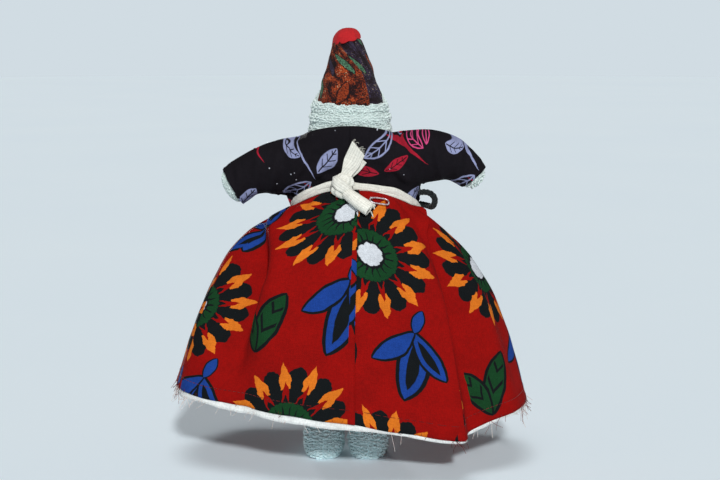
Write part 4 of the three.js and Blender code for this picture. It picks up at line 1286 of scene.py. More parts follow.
class Arm:
    """One arm: a bent line from shoulder to cuff, and the outline of the cloth round it."""

    def __init__(self, name, side, points, radius, over, under):
        self.name, self.side, self.radius = name, side, radius
        self.shoulder, self.elbow, self.cuff = (Vector(p) for p in points)
        self.over, self.under = line_through(over), line_through(under)
        self.samples = [self.at(i / 32) for i in range(33)]

    def at(self, place):
        t = clamp(place)
        return self.shoulder * (1 - t) ** 2 + self.elbow * 2 * t * (1 - t) + self.cuff * t ** 2

    def ahead(self, place):
        t = clamp(place)
        return ((self.elbow - self.shoulder) * (1 - t) + (self.cuff - self.elbow) * t).normalized()

    def up(self, place):
        ahead = self.ahead(place)
        return Vector((-ahead.z, 0, ahead.x)) * self.side

    def flatness(self, place):
        return lerp(1, 0.86, smooth(place, 0.1, 1))

    def depth(self, x, z):
        """Half the arm's depth in front of or behind a point of the middle plane, or 0 outside it."""
        spot = Vector((x, 0, z))
        near = min(range(33), key=lambda i: (self.samples[i] - spot).length_squared)
        best, place = 1e9, 0
        for i in (max(near - 1, 0), min(near, 31)):
            a, b = self.samples[i], self.samples[i + 1]
            t = clamp((spot - a).dot(b - a) / (b - a).length_squared)
            away = (a + (b - a) * t - spot).length
            if away < best:
                best, place = away, (i + t) / 32
        left = self.radius(place) ** 2 - best ** 2
        return self.flatness(place) * math.sqrt(left) if left > 0 else 0.0


LEFT_ARM = Arm(
    "left", 1, [(38, 0, 192.8), (56, 0, 190.5), (77.1, 0, 178.8)], through((0, 18), (0.45, 15.9), (1, 13.4)),
    over=[(28.9, 0, 213.5), (34, 0, 211.3), (48.8, 0, 208.3), (62, 0, 203.4), (73.5, 0, 197.2),
          (83.6, 0, 190.6)],
    under=[(42.6, 0, 172.6), (52, 0, 174), (61.5, 0, 173.2), (70.6, 0, 167.0)],
)
RIGHT_ARM = Arm(
    "right", -1, [(-40, 0, 197), (-63.5, 0, 201), (-78, 0, 184.6)], through((0, 17.5), (0.5, 16), (1, 9.6)),
    over=[(-25.9, 0, 213.5), (-34, 0, 214.6), (-49.5, 0, 215.3), (-61.8, 0, 212.6), (-71.7, 0, 207.6),
          (-79.4, 0, 200.2), (-85.2, 0, 191)],
    under=[(-44.5, 0, 179.6), (-51, 0, 181.6), (-57.7, 0, 183), (-65, 0, 181.4), (-70.8, 0, 178.2)],
)
ARMS = {"left": LEFT_ARM, "right": RIGHT_ARM}

# Half the blouse's width and depth by height: 0 is where it is tucked in, 1 the neckline
TUCKED_WIDTH = WAIST_HALF_WIDTH - 2.6
TUCKED_DEPTH = WAIST_HALF_DEPTH - 2.6
BLOUSE_WIDTH = through(
    (-0.1, TUCKED_WIDTH), (0.12, TUCKED_WIDTH), (0.26, TUCKED_WIDTH), (0.4, 43.4), (0.52, 44.4), (0.68, 43.4),
    (0.84, 38), (0.95, NECKLINE_RADIUS + 4), (1, NECKLINE_RADIUS),
)
BLOUSE_DEPTH = through(
    (-0.1, TUCKED_DEPTH), (0.13, TUCKED_DEPTH), (0.3, TUCKED_DEPTH), (0.44, 26), (0.6, 27),
    (0.84, NECKLINE_RADIUS + 1.2), (0.95, NECKLINE_RADIUS + 0.9), (1, NECKLINE_RADIUS),
)


def body_depth(x, z, front):
    """Half the blouse's depth in front of or behind a point of the middle plane."""
    rise = 0.5
    for _ in range(3):
        middle = lerp(WAIST_X, HEAD_X, smooth(rise, 0.26, 1))
        share = clamp((x - middle) / BLOUSE_WIDTH(rise), -1, 1)
        angle = math.acos(share) * (-1 if front else 1)
        low, high = band_z(angle) - BLOUSE_TUCK, neckline_z(angle)
        rise = clamp((z - low) / (high - low))
    middle = lerp(WAIST_X, HEAD_X, smooth(rise, 0.26, 1))
    share = abs(x - middle) / BLOUSE_WIDTH(rise)
    if share >= 1:
        return 0.0
    power = lerp(WAIST_SQUARENESS, 2, rise)
    return BLOUSE_DEPTH(rise) * (1 - share ** power) ** (1 / power)


WAIST_PART = 0.36
SIDE_SEAM = 0.45
NECK_PART = 0.32
SEAM_ROUND = 3.2
BLOUSE_COLUMNS = 130
BLOUSE_ROWS = 84
CUFF_TURN = 6

# Two points out and up from the shoulder's pivot, about where the cloth turns from the trunk to the arm; the
# blouse works them out but does not use them
SLEEVE_BEND = ((-6, -4), (19, 4))

# Creases of the blouse: from, to, half width and height, and whether they are behind
CREASES = [
    ((36, 176), (12, 200), 3.0, 1.1, True), ((-38, 182), (-14, 202), 3.2, 1.1, True),
    ((40, 180), (24, 206), 2.6, 0.9, True), ((-42, 186), (-30, 208), 2.6, 0.9, True),
    ((30, 172), (20, 190), 2.4, 0.9, True), ((-28, 172), (-22, 190), 2.4, 0.8, True),
    ((52, 176), (47, 204), 2.4, 0.9, True), ((62, 176), (60, 200), 2.2, 0.8, True),
    ((-56, 186), (-52, 211), 2.4, 0.9, True), ((-66, 184), (-70, 204), 2.2, 0.9, True),
    ((70, 172), (74, 192), 2.0, 0.8, True), ((-10, 184), (-26, 194), 3.0, 0.8, True),
    ((14, 184), (26, 192), 2.6, 0.9, True), ((20, 206), (34, 203), 2.2, 0.6, True),
    ((36, 176), (14, 196), 3.2, 1.2, False), ((-38, 182), (-16, 198), 3.2, 1.2, False),
    ((48, 178), (46, 204), 2.6, 0.9, False), ((-52, 186), (-54, 210), 2.6, 0.9, False),
    ((64, 176), (66, 198), 2.2, 0.8, False), ((-66, 186), (-68, 206), 2.2, 0.8, False),
]


def crease(x, z, behind):
    out = 0
    for (x1, z1), (x2, z2), wide, high, at_back in CREASES:
        if at_back != behind:
            continue
        run = Vector((x2 - x1, z2 - z1))
        spot = Vector((x - x1, z - z1))
        t = spot.dot(run) / run.length_squared
        if not -0.2 < t < 1.2:
            continue
        away = abs(run.x * spot.y - run.y * spot.x) / run.length
        fade = smooth(t, -0.2, 0.2) * (1 - smooth(t, 0.7, 1.2))
        out += high * fade * (mound(away, wide) - 0.55 * mound(away - 1.8 * wide, wide))
    return out


def blouse_sheet(bm, arm, front):
    """One quarter of the blouse: half of its front or of its back, with the sleeve."""
    sign = -1 if front else 1
    side_angle = 0 if arm.side > 0 else math.pi
    waist_half = BLOUSE_WIDTH(0)

    def waist(turn):
        angle = side_angle + arm.side * sign * turn * math.pi / 2
        x = lerp(HEAD_X, WAIST_X + arm.side * waist_half, math.sin((1 - turn) * math.pi / 2))
        return Vector((x, 0, band_z(angle) - BLOUSE_TUCK))

    def neckline(turn):
        angle = side_angle + arm.side * sign * turn * math.pi / 2
        return Vector((HEAD_X + NECKLINE_RADIUS * math.cos(angle), 0, neckline_z(angle)))

    low_side, armpit = waist(0), arm.under(0)

    def bottom(a):
        if a < WAIST_PART:
            return waist(1 - a / WAIST_PART)
        if a < SIDE_SEAM:
            return low_side.lerp(armpit, (a - WAIST_PART) / (SIDE_SEAM - WAIST_PART))
        return arm.under((a - SIDE_SEAM) / (1 - SIDE_SEAM))

    def top(a):
        if a < NECK_PART:
            return neckline(1 - a / NECK_PART)
        return arm.over((a - NECK_PART) / (1 - NECK_PART))

    def place(i, j):
        cuff_columns = BLOUSE_COLUMNS - CUFF_TURN
        a = min(i / cuff_columns, 1)
        v = j / BLOUSE_ROWS
        b = lerp(v, (1 - math.cos(v * math.pi)) / 2, 0.75)
        low, high = bottom(a), top(a)
        spot = low.lerp(high, b)
        length = (high - low).length
        body = body_depth(spot.x, spot.z, front)
        sleeve = arm.depth(spot.x, spot.z) if a > 0.12 else 0.0
        depth = (body ** 3 + sleeve ** 3) ** (1 / 3)
        sewn_low = smooth(a, WAIST_PART - 0.02, WAIST_PART + 0.01)
        sewn_high = smooth(a, NECK_PART - 0.02, NECK_PART + 0.01)
        for away, sewn in ((b * length, sewn_low), ((1 - b) * length, sewn_high)):
            near = clamp(away / SEAM_ROUND + (1 - sewn))
            depth *= math.sqrt(near * (2 - near))
        spot.y = sign * depth
        inside = (i - cuff_columns) / CUFF_TURN
        if inside > 0:
            middle = arm.at(1)
            ahead = arm.ahead(1)
            spot = middle + (spot - middle) * (1 - 0.13 * math.sin(inside * math.pi / 2) - 0.04 * inside)
            spot += ahead * (math.sin(inside * math.pi) * 0.8 - 4.5 * inside ** 1.5)
        return spot

    def chart(i, j, _):
        spot = place(i, j)
        return (spot.x * sign, spot.z + abs(spot.y) * 0.35 + (0 if sign > 0 else 31))

    flip = (arm.side > 0) == (sign > 0)
    return bent_grid(bm, BLOUSE_COLUMNS, BLOUSE_ROWS, place, chart, turned=flip)


class RAGDOLL_OT_blouse(bpy.types.Operator):
    """Sew the blouse, cut in one with its sleeves"""
    bl_idname = "ragdoll.blouse"
    bl_label = "Sew Blouse"

    def execute(self, context):
        for arm in ARMS.values():
            bm = bmesh.new()
            verts = blouse_sheet(bm, arm, False) + blouse_sheet(bm, arm, True)
            weld(bm, verts)

            def uneven(co):
                edge = smooth(abs(co.x - HEAD_X), 0, 4)
                soft = ripple(co.x, co.y, co.z, 13, 2) * 0.9 + ripple(co.x, co.y, co.z, 4.5, 6) * 0.3
                return edge * (crease(co.x, co.z, co.y > 0) + soft * smooth(215 - co.z, 0, 8))

            push_out(bm, uneven)
            half = add_wall(finish_piece("blouse_" + arm.name, bm, "blouse_cotton"), BLOUSE_WALL)
            nodes = [arm.name + "_sleeve"] + (["blouse_body"] if arm.side > 0 else [])
            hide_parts(*nodes)
            bend = [(arm.at(0) + Vector((arm.side * out, 0, up))) * MM for out, up in SLEEVE_BEND]
            tuple(bend[0])
            tuple(bend[1])
            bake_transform(half)
        return {"FINISHED"}


# Head, hood and face


def hood_radius(z):
    slope = (HOOD_HEM_RADIUS - HOOD_TOP_RADIUS) / (HOOD_SHOULDER_Z - HOOD_HEM_BACK_Z)
    belly = HOOD_BELLY * math.sin(clamp((z - 229) / 43) * math.pi)
    return HOOD_HEM_RADIUS - slope * (z - HOOD_HEM_BACK_Z) + belly


def terry_edge_z(angle):
    """Height of the terry's edge over the hood: highest over the face, and a little higher on the left."""
    front = -math.sin(angle)
    rise = (HOOD_HEM_FRONT_Z - HOOD_HEM_BACK_Z) * smooth(front, -0.1, 0.9)
    return HOOD_HEM_BACK_Z + 0.6 + rise + 2.2 * max(math.cos(angle), 0) ** 2 * (1 - smooth(front, 0, 0.8))


# The head's radius by height: two soft rolls behind, plain in front
HEAD_BASE_Z = 210.8
TERRY_ROLLS = through((HEAD_BASE_Z, 25.4), (214, 25.9), (217.2, 25.7), (219.2, 24.5), (222.2, 25.3),
                      (225, 24.8), (226.8, 23.3), (229, 23.9), (232, 23.3), (234, 23))
TERRY_FACE = through((HEAD_BASE_Z, 25.4), (215, 25.9), (220, 25.7), (225, 24.9), (230, 23.6), (235, 21.8),
                     (243, 19))


def head_surface(angle, row):
    """The terry face of the head: row 0 at its base, 1 at the edge that lies over the hood's hem."""
    row = clamp(row)
    front = smooth(-math.sin(angle), -0.3, 0.6)
    z = lerp(HEAD_BASE_Z, terry_edge_z(angle), row)
    radius = lerp(TERRY_ROLLS(z), TERRY_FACE(z), front) + ripple_round(angle, 20, z, 8, 5) * 0.6
    radius = lerp(radius, hood_radius(z) + 1.9, smooth(row, 0.82, 1))
    z += smooth(row, 0.85, 1) * ripple_round(angle, 20, 0, 5, 3) * 1.1
    return ring_point(HEAD_X, radius, angle, z)


def crown_surface(angle, share):
    """The hidden part of the head: over the terry's edge, then up inside the hood."""
    edge = head_surface(angle, 1)
    inner = (hood_radius(edge.z) - HOOD_ROOM) / math.hypot(edge.x - HEAD_X, edge.y)
    if share < CROWN_FOLD:
        t = share / CROWN_FOLD
        spot = edge.lerp(Vector((HEAD_X + (edge.x - HEAD_X) * inner, edge.y * inner, edge.z)), t)
        spot.z += 0.7 * math.sin(t * math.pi)
        return spot
    t = (share - CROWN_FOLD) / (1 - CROWN_FOLD)
    top = lerp(edge.z, CROWN_Z, t ** 0.8)
    radius = (hood_radius(top) - HOOD_ROOM) * (1 - t ** 6)
    return ring_point(HEAD_X, radius, angle, top)


# Radius and height
SOCKET_OUTLINE = [(0, 225.6), (6.5, 223.3), (9.8, 219), (10.6, 215), (11.5, 211.6), (14, 210.3), (20, 210.1),
                  (25.5, 210.8)]


def socket_surface(angle, share):
    """The head's base: in to the neck, then up over the neck ball. Share 0 is the ball's top."""
    ring = line_through([(r, 0, z) for r, z in SOCKET_OUTLINE])(share)
    radius = max(ring.x, 0) if share > 0 else 0
    return ring_point(HEAD_X, radius, angle, ring.z)


class RAGDOLL_OT_head(bpy.types.Operator):
    """Stuff the terry head"""
    bl_idname = "ragdoll.head"
    bl_label = "Stuff Head"

    def execute(self, context):
        bm = bmesh.new()
        sides = 96
        verts = []
        for surface, rows in ((socket_surface, 28), (head_surface, 44), (crown_surface, 26)):
            verts += bent_grid(bm, sides, rows,
                               lambda i, j, s=surface, n=rows: s(i / sides * TURN, j / n if j else 0))
        bmesh.ops.remove_doubles(bm, verts=verts, dist=0.02)
        count = round((HOOD_HEM_BACK_Z - HEAD_BASE_Z) * 1.3 / TERRY_ROW)
        add_terry(bm, head_surface, [k / count for k in range(1, count + 1)], 1.35, seed=3, grow=0.85)
        head = finish_piece("head_terry", bm, "terry_pale_ground", "terry_pale")
        carried(head, "head_and_hood", "terry", "head")
        return {"FINISHED"}


HOOD_SWEEP = 390
HOOD_LAP = 1.5

# The hood's overlapping edge: its height, and the direction in which it lies
HOOD_EDGE = through((226, 124), (240, 123), (252, 117), (262, 90), (270, 60), (275, 48))


def hood_face(turn, z):
    """The wrapped hood: turn 0 is the edge on top, 1 the edge underneath."""
    degrees = HOOD_EDGE(z) - turn * HOOD_SWEEP
    angle = math.radians(degrees)
    radius = hood_radius(z)
    if z > HOOD_SHOULDER_Z:
        over = clamp((z - HOOD_SHOULDER_Z) / HOOD_DOME)
        radius = HOOD_TOP_RADIUS * math.sqrt(1 - over ** 2)
    lap = HOOD_LAP * (1 - smooth(turn, 0.0, 0.35)) * smooth(radius, 3, 8)
    roll = 0.45 * mound(turn * HOOD_SWEEP, 7) * smooth(radius, 3, 8)
    lump = ripple_round(angle, 16, z, 9, 3) * 0.9 + ripple_round(angle, 16, z, 3.5, 5) * 0.25
    radius += lap + roll + lump * smooth(radius, 3, 10)
    lean = HOOD_LEAN * smooth(z, 231, 272)
    return ring_point(HEAD_X + lean, radius, angle, z)


class RAGDOLL_OT_hood(bpy.types.Operator):
    """Wrap the pointed hood and sew on its red tip"""
    bl_idname = "ragdoll.hood"
    bl_label = "Wrap Hood"

    def execute(self, context):
        columns, rows = 190, 70
        high = HOOD_SHOULDER_Z + HOOD_DOME - 0.02

        def place(i, j):
            turn, share = i / columns, j / rows
            base = terry_edge_z(math.radians(HOOD_EDGE(240) - turn * HOOD_SWEEP)) - 3
            return hood_face(turn, lerp(base, high, share ** 0.9))

        def chart(i, j, _):
            return (i / columns * 118, j / rows * 46)

        bm = bmesh.new()
        bent_grid(bm, columns, rows, place, chart, turned=True)
        hood = add_wall(finish_piece("hood_cloth", bm, "hood_cotton"), HOOD_WALL)
        carried(hood, "head_and_hood", "hood_cloth", "hood")
        bm = bmesh.new()
        sides, rings = 64, 22

        def cap(i, j):
            angle = i / sides * TURN
            share = j / rings
            edge = HOOD_SHOULDER_Z - 0.2 - 2.4 * math.cos(angle) + 0.35 * math.sin(angle * 9)
            lean = math.pi / 2 * share
            pucker = 1 + 0.03 * math.sin(angle * 9 + 0.6) * (1 - share)
            over = clamp((edge - HOOD_SHOULDER_Z) / HOOD_DOME)
            rim = (hood_radius(edge) if over == 0 else HOOD_TOP_RADIUS * math.sqrt(1 - over ** 2)) + TIP_LIFT
            radius = rim * math.cos(lean) ** 0.8 * pucker
            if j == rings:
                radius = 0
            height = lerp(edge, DOLL_TOP_Z, math.sin(lean))
            lump = ripple_round(angle, 6, height, 4, 2) * 0.35
            radius = max(radius + lump * (1 - share), 0) if radius else 0
            return ring_point(HEAD_X + HOOD_LEAN, radius, angle, height)

        closed_grid(bm, sides, rings, cap, lambda i, j, _: (i / sides * 54, j / rings * 13))
        tip = add_wall(finish_piece("hood_tip_cap", bm, "red_cotton"), HOOD_WALL)
        carried(tip, "head_and_hood", "hood_tip", "hood_tip")
        return {"FINISHED"}


# One stitch over an eye: how far across it, and how far out of the head
EYE_STITCH = ((-1, 0.5), (-0.8, 1.15), (0, 1.45), (0.8, 1.15), (1, 0.5))


def face_point(x, z, out):
    """A point of the front of the head, at x from its middle."""
    angle = -math.pi / 2 + math.asin(x / FACE_RADIUS)
    row = (z - HEAD_BASE_Z) / (terry_edge_z(angle) - HEAD_BASE_Z)
    spot = head_surface(angle, row)
    away = Vector((spot.x - HEAD_X, spot.y, 0)).normalized()
    return Vector((spot.x, spot.y, z)) + away * out


class RAGDOLL_OT_face(bpy.types.Operator):
    """Stitch two eyes and a mouth on the front of the head"""
    bl_idname = "ragdoll.face"
    bl_label = "Stitch Face"

    def execute(self, context):
        for side, name in ((1, "left_eye"), (-1, "right_eye")):
            bm = bmesh.new()
            for k in range(9):
                height = (k - 4) * 0.42
                half = 1.9 * math.sqrt(max(1 - (height / 2) ** 2, 0.05))
                path = line_through([face_point(side * EYE_SPREAD + half * share, EYE_Z + height, out)
                                     for share, out in EYE_STITCH])
                tube(bm, path, 0.27, 6, 12)
            eye = finish_piece(name + "_stitches", bm, "eye_thread")
            carried(eye, "head_and_hood", "eye_thread", name)
        bm = bmesh.new()
        for k in range(7):
            x = (k - 3) * 1.25
            z = MOUTH_Z + 0.06 * x ** 2
            ends = [(x - 0.75, 0.5), (x - 0.5, 1.15), (x + 0.5, 1.15), (x + 0.85, 0.5)]
            path = line_through([face_point(u, z + 0.1 * (u - x) * x, out) for u, out in ends])
            tube(bm, path, 0.32, 6, 10)
        mouth = finish_piece("mouth_stitches", bm, "mouth_thread")
        carried(mouth, "head_and_hood", "mouth_thread", "mouth")
        return {"FINISHED"}


# Waistband, knot, tails and pin


# Edges of the tape by direction, over and under the middle of the band, and the crease where it is folded
BAND_LOWER = through((-100, -2.9), (40, -3.1), (80, -3.4), (94, -5.6), (110, -5.2), (125, -3.6), (150, -3.0),
                     (260, -2.9))
BAND_UPPER = through((0, 2.4), (60, 3.0), (80, 3.2), (94, 0.9), (110, 1.6), (125, 2.6), (150, 2.6),
                     (185, 1.2), (240, 1.6), (300, 2.2), (360, 2.4))
BAND_CREASE = through((0, -0.6), (70, -0.2), (94, -3), (120, -1.4), (180, -1.6), (360, -0.6))

# How much farther one corner of the upper tail's end reaches than the middle
TAIL_SLANT = 2.6


def band_strip(bm, low, high, lift, seed):
    """One layer of tape round the waist, between two heights that change with the direction."""
    sides, section = 220, 16

    def place(i, j):
        degrees = i / sides * 360
        angle = math.radians(degrees)
        turn = j / section * TURN
        half = (high(degrees) - low(degrees)) / 2
        middle = (high(degrees) + low(degrees)) / 2
        rise = math.sin(turn) * half
        thick = signed_power(math.cos(turn), 0.6) * TAPE_WALL / 2
        wave = ripple_round(angle, 30, rise, 5, seed) * 0.5
        wave += ripple_round(angle, 30, rise * 3, 12, seed + 3) * 0.7
        point = oval(angle, WAIST_HALF_WIDTH, WAIST_HALF_DEPTH, WAIST_SQUARENESS)
        out = point.normalized()
        point += out * (lift + thick + wave)
        point.x += WAIST_X
        point.z = band_z(angle) + middle + rise + ripple_round(angle, 30, 0, 9, seed + 5) * 0.7
        return point

    closed_grid(bm, sides, section, place, lambda i, j, _: (i / sides * 218, j / section * 14))


def knot_frame(co):
    """A point in the knot's own frame, whose Z runs along its long side."""
    return Matrix.Rotation(math.radians(-24), 3, "Y") @ co + KNOT_AT


def knot_body(bm):
    """The knot's core: folded tape that swells out of its wrap on both sides."""
    sides, rows = 56, 44

    def place(i, j):
        angle = i / sides * TURN
        lean = (1 - j / rows) * math.pi
        height = KNOT_HEIGHT / 2 * math.cos(lean)
        swell = math.sin(lean) ** 0.6 if 0 < j < rows else 0
        waist = 1 - 0.2 * mound(height, 2.6)
        point = oval(angle, KNOT_WIDTH / 2 * swell * waist, KNOT_DEPTH / 2 * swell * waist, 2.5)
        pleats = 0.55 * math.sin(angle * 7 + height * 0.25) * smooth(abs(height), 1.5, 4.5) * swell
        point += point.normalized() * pleats if point.length else Vector()
        point.z = height
        return knot_frame(point)

    closed_grid(bm, sides, rows, place, lambda i, j, _: (i / sides * 34, j / rows * 20))


def knot_wrap(bm):
    """The turn of tape that binds the knot, pulled slantwise over it."""
    sides, section = 72, 18

    def place(i, j):
        angle = i / sides * TURN
        turn = j / section * TURN
        half = 3.3 + 0.5 * math.sin(angle + 0.6)
        point = oval(angle, KNOT_WIDTH / 2 * 0.86, KNOT_DEPTH / 2 * 0.9, 2.4)
        out = point.normalized()
        across = math.sin(turn)
        pleat = 0.35 * math.sin(across * 6.5 + 0.8 * math.sin(angle))
        thick = signed_power(math.cos(turn), 0.7) * 0.9
        point += out * (1.0 + thick + (pleat if thick > 0 else 0) - 0.9 * across ** 4)
        point.z = across * half + 1.5 * math.cos(angle)
        return knot_frame(point)

    closed_grid(bm, sides, section, place, lambda i, j, _: (i / sides * 38, j / section * 14))


def tape_strip(bm, path, width, wall, across, chart_at=0.0, slant=0.0):
    """A flat length of tape along path, with a thin oval section that lies across."""
    section, rows = 18, 26

    def place(i, j):
        share = j / rows
        turn = i / section * TURN
        ahead = heading(path, share, 0.02)
        side = (across - ahead * across.dot(ahead)).normalized()
        out = ahead.cross(side)
        wide = math.cos(turn) * width(share) / 2
        thick = signed_power(math.sin(turn), 0.6) * wall / 2
        spot = path(share) + side * wide + ahead * slant * math.cos(turn) * smooth(share, 0.6, 1)
        pleat = 0.5 * math.sin(math.cos(turn) * 5 + share * 3) * (1 - 0.5 * share)
        return spot + out * (thick + pleat + ripple(spot.x, spot.y, spot.z, 4, 2) * 0.5)

    def chart(i, j, _):
        return (j / rows * 24 + chart_at, abs(i / section - 0.5) * width(j / rows) * 2)

    closed_grid(bm, section, rows, place, chart)


def close_ends(bm):
    """Closes the open ends of thin strips of tape."""
    open_edges = [edge for edge in bm.edges if edge.is_boundary]
    bmesh.ops.holes_fill(bm, edges=open_edges, sides=0)


class RAGDOLL_OT_waistband(bpy.types.Operator):
    """Tie the white tape round the waist, with its knot and two tails behind"""
    bl_idname = "ragdoll.waistband"
    bl_label = "Tie Waistband"

    def execute(self, context):
        bm = bmesh.new()
        band_strip(bm, BAND_LOWER, lambda degrees: BAND_CREASE(degrees) + 0.9, -1.1, 3)
        band_strip(bm, lambda degrees: BAND_CREASE(degrees) - 0.5, BAND_UPPER, -0.5, 7)
        band = finish_piece("waist_tape", bm, "white_tape")
        carried(band, "trunk", "tape", "waistband")
        bm = bmesh.new()
        knot_body(bm)
        knot_wrap(bm)
        push_out(bm, lambda co: ripple(co.x, co.y, co.z, 2.6, 4) * 0.4)
        carried(finish_piece("waist_knot", bm, "white_tape"), "trunk", "tape", "tie_knot")
        self.upper_tail()
        self.lower_tail()
        return {"FINISHED"}

    def upper_tail(self):
        start = KNOT_AT + Vector((-1.5, -0.2, 5.5))
        lean = Vector((-0.42, 0, 0.9)).normalized()
        bm = bmesh.new()
        flat = Vector((0.9, 0, 0.42))
        over = line_through([start + lean * 20 * t + Vector((0, 1.4 - 2.6 * math.sin(t * 2.1), 0))
                             for t in (0, 0.35, 0.7, 1)])
        tape_strip(bm, over, lambda t: lerp(6.5, 11, smooth(t, 0, 0.55)), 0.9, flat, slant=TAIL_SLANT)
        under_lean = Vector((-0.62, 0, 0.78)).normalized()
        under = line_through([start + Vector((-1, -1.6, -1)) + under_lean * 15.5 * t
                              + Vector((0, -1.2 * math.sin(t * 2.4), 0)) for t in (0, 0.35, 0.7, 1)])
        tape_strip(bm, under, lambda t: lerp(4.5, 7.5, smooth(t, 0, 0.6)), 0.8, Vector((0.78, 0, 0.62)), 40)
        close_ends(bm)
        draw = random.Random(8)
        for _ in range(26):
            side = draw.uniform(-5, 5)
            base = over(0.98) + flat * side + lean * TAIL_SLANT * side / 5
            ahead = lean + Vector((draw.uniform(-0.7, 0.5), draw.uniform(-0.2, 0.5), draw.uniform(-0.4, 0.2)))
            long = draw.uniform(0.8, 3.6)
            path = line_through([base - lean, base, base + ahead * long * 0.6,
                                 base + ahead * long + Vector((draw.uniform(-1, 1), 0, -0.4 * long))])
            tube(bm, path, FRAY_RADIUS, 4, 6)
        tail = carried(finish_piece("upper_tail", bm, "white_tape"), "trunk", "tape", "tie_tail_upper")

    def lower_tail(self):
        start = KNOT_AT + Vector((-4.6, 1.2, -6.4))
        run = []
        for share in (0.25, 0.6, 1):
            far = share * TAIL_DOWN_LENGTH
            angle = back_angle(KNOT_X - 2.7 - far * TAIL_DOWN_ASIDE)
            run.append(skirt_point(angle, 0.03 + far * TAIL_DOWN_FALL, -(ROLL_RADIUS + 0.9)))
        path = line_through([start, *run])
        rows, section = 34, 30

        def place(i, j):
            share = j / rows
            ahead = heading(path, share, 0.02)
            out = Vector((0, 0.75, 0.66))
            out = (out - ahead * out.dot(ahead)).normalized()
            side = ahead.cross(out)
            opened = smooth(share, 0, 0.75)
            wind = i / section
            angle = math.radians(lerp(-160, lerp(235, 190, opened), wind))
            radius = lerp(2.7, ROLL_RADIUS, opened) * lerp(0.72, 1.0, smooth(1 - wind, 0.0, 0.55))
            spot = path(share) + side * radius * 1.22 * math.cos(angle) + out * radius * math.sin(angle)
            return spot + out * ripple(spot.x, spot.y, spot.z, 4, 6) * 0.45

        bm = bmesh.new()
        bent_grid(bm, section, rows, place, lambda i, j, _: (j / rows * 26, i / section * 22))
        draw = random.Random(21)
        for _ in range(5):
            base = place(draw.randrange(section), rows)
            ahead = Vector((draw.uniform(-1, 0.6), draw.uniform(0, 0.5), draw.uniform(-1, 0.2))).normalized()
            long = draw.uniform(1, 4)
            tip = base + ahead * long - UP * 0.5
            tube(bm, line_through([base, base + ahead * long * 0.6, tip]), FRAY_RADIUS, 4, 6)
        tail = finish_piece("lower_tail", bm, "white_tape")
        solid = add_wall(tail, 0.7)
        solid.modifiers["wall"].offset = 0
        carried(tail, "trunk", "tape", "tie_tail_lower")


class RAGDOLL_OT_pin(bpy.types.Operator):
    """Bend the small wire pin beside the knot"""
    bl_idname = "ragdoll.pin"
    bl_label = "Bend Pin"

    def execute(self, context):
        angle = back_angle(PIN_X)
        off = -(PIN_WIRE / 2 + 1.6)
        seat = skirt_point(angle, PIN_DROP, off)
        across = (skirt_point(back_angle(PIN_X + 1), PIN_DROP, off) - seat).normalized()
        up = (skirt_point(angle, PIN_DROP / 2, off) - seat).normalized()
        half = PIN_HEIGHT / 2 - PIN_WIRE / 2
        run = PIN_LENGTH / 2 - half
        bends = [
            (run + 1.2, half * 0.82), (run * 0.3, half * 1.02), (-run, half),
            (-run - half * 0.72, half * 0.7), (-run - half, 0), (-run - half * 0.72, -half * 0.7),
            (-run, -half), (run * 0.3, -half), (run, -half), (run + half * 0.7, -half * 0.72),
            (run + half, -half * 0.1), (run + half * 0.7, half * 0.5), (run + half * 0.1, half * 0.62),
        ]
        points = [seat + across * x + up * y for x, y in bends]
        bm = bmesh.new()
        tube(bm, line_through(points), PIN_WIRE / 2 * 0.92, 12, 90)
        carried(finish_piece("pin_wire", bm, "steel_wire"), "trunk", "pin_metal", "waist_pin")
        return {"FINISHED"}


# Arms, legs and torso


HAND_LENGTH = 5.4
ARM_INSET = 2.6
SLEEVE_ROOM = 3.2

# The share of an arm's rows that its round root takes, and that its hand takes
ARM_END = 0.16
HAND_ROW = 1 - ARM_END


def arm_surface(arm):
    """The stuffed roll of an arm: row 0 at its round root, 1 at the middle of the hand's end.

    Its covered part is slimmer, which leaves room between it and the sleeve.
    """

    def ring(place, angle, flatness):
        return arm.up(place) * math.cos(angle) + Vector((0, flatness * math.sin(angle), 0))

    def surface(angle, row):
        if row < ARM_END:
            lean = math.pi / 2 * row / ARM_END
            radius = arm.radius(0) - ARM_INSET - SLEEVE_ROOM
            spot = arm.at(0) - arm.ahead(0) * radius * math.cos(lean)
            return spot + ring(0, angle, 1) * radius * math.sin(lean)
        if row < HAND_ROW:
            place = (row - ARM_END) / (HAND_ROW - ARM_END)
            radius = arm.radius(place) - ARM_INSET - SLEEVE_ROOM * (1 - smooth(place, 0.35, 0.8))
            return arm.at(place) + ring(place, angle, arm.flatness(place)) * radius
        lean = math.pi / 2 * clamp((row - HAND_ROW) / ARM_END)
        radius = (arm.radius(1) - ARM_INSET) * math.cos(lean)
        spot = arm.at(1) + arm.ahead(1) * HAND_LENGTH * math.sin(lean)
        return spot + ring(1, angle, arm.flatness(1)) * radius

    return surface


class RAGDOLL_OT_arms(bpy.types.Operator):
    """Stuff the terry arms, whose ends show at the cuffs"""
    bl_idname = "ragdoll.arms"
    bl_label = "Stuff Arms"

    def execute(self, context):
        for arm in ARMS.values():
            surface = arm_surface(arm)
            bm = bmesh.new()
            closed_body(bm, surface, 48, 60, turned=arm.side < 0)
            reach = (arm.radius(1) - 2) / TERRY_ROW
            places = [0.80, 0.822] + [HAND_ROW + ARM_END * k / reach for k in range(int(reach))]
            add_terry(bm, surface, places, seed=17 + arm.side)
            piece = finish_piece(arm.name + "_arm_terry", bm, "terry_pale_ground", "terry_pale")
            carried(piece, "arm_" + arm.name, "terry", arm.name + "_arm_roll")
        return {"FINISHED"}


FOOT_RIBS = 34
FOOT_ROWS = 24
LEG_RELIEF = 0.28
FLOOR_GAP = 0.05
SOLE_SHARE = 0.3
SOLE_LEAN = math.pi * 0.27


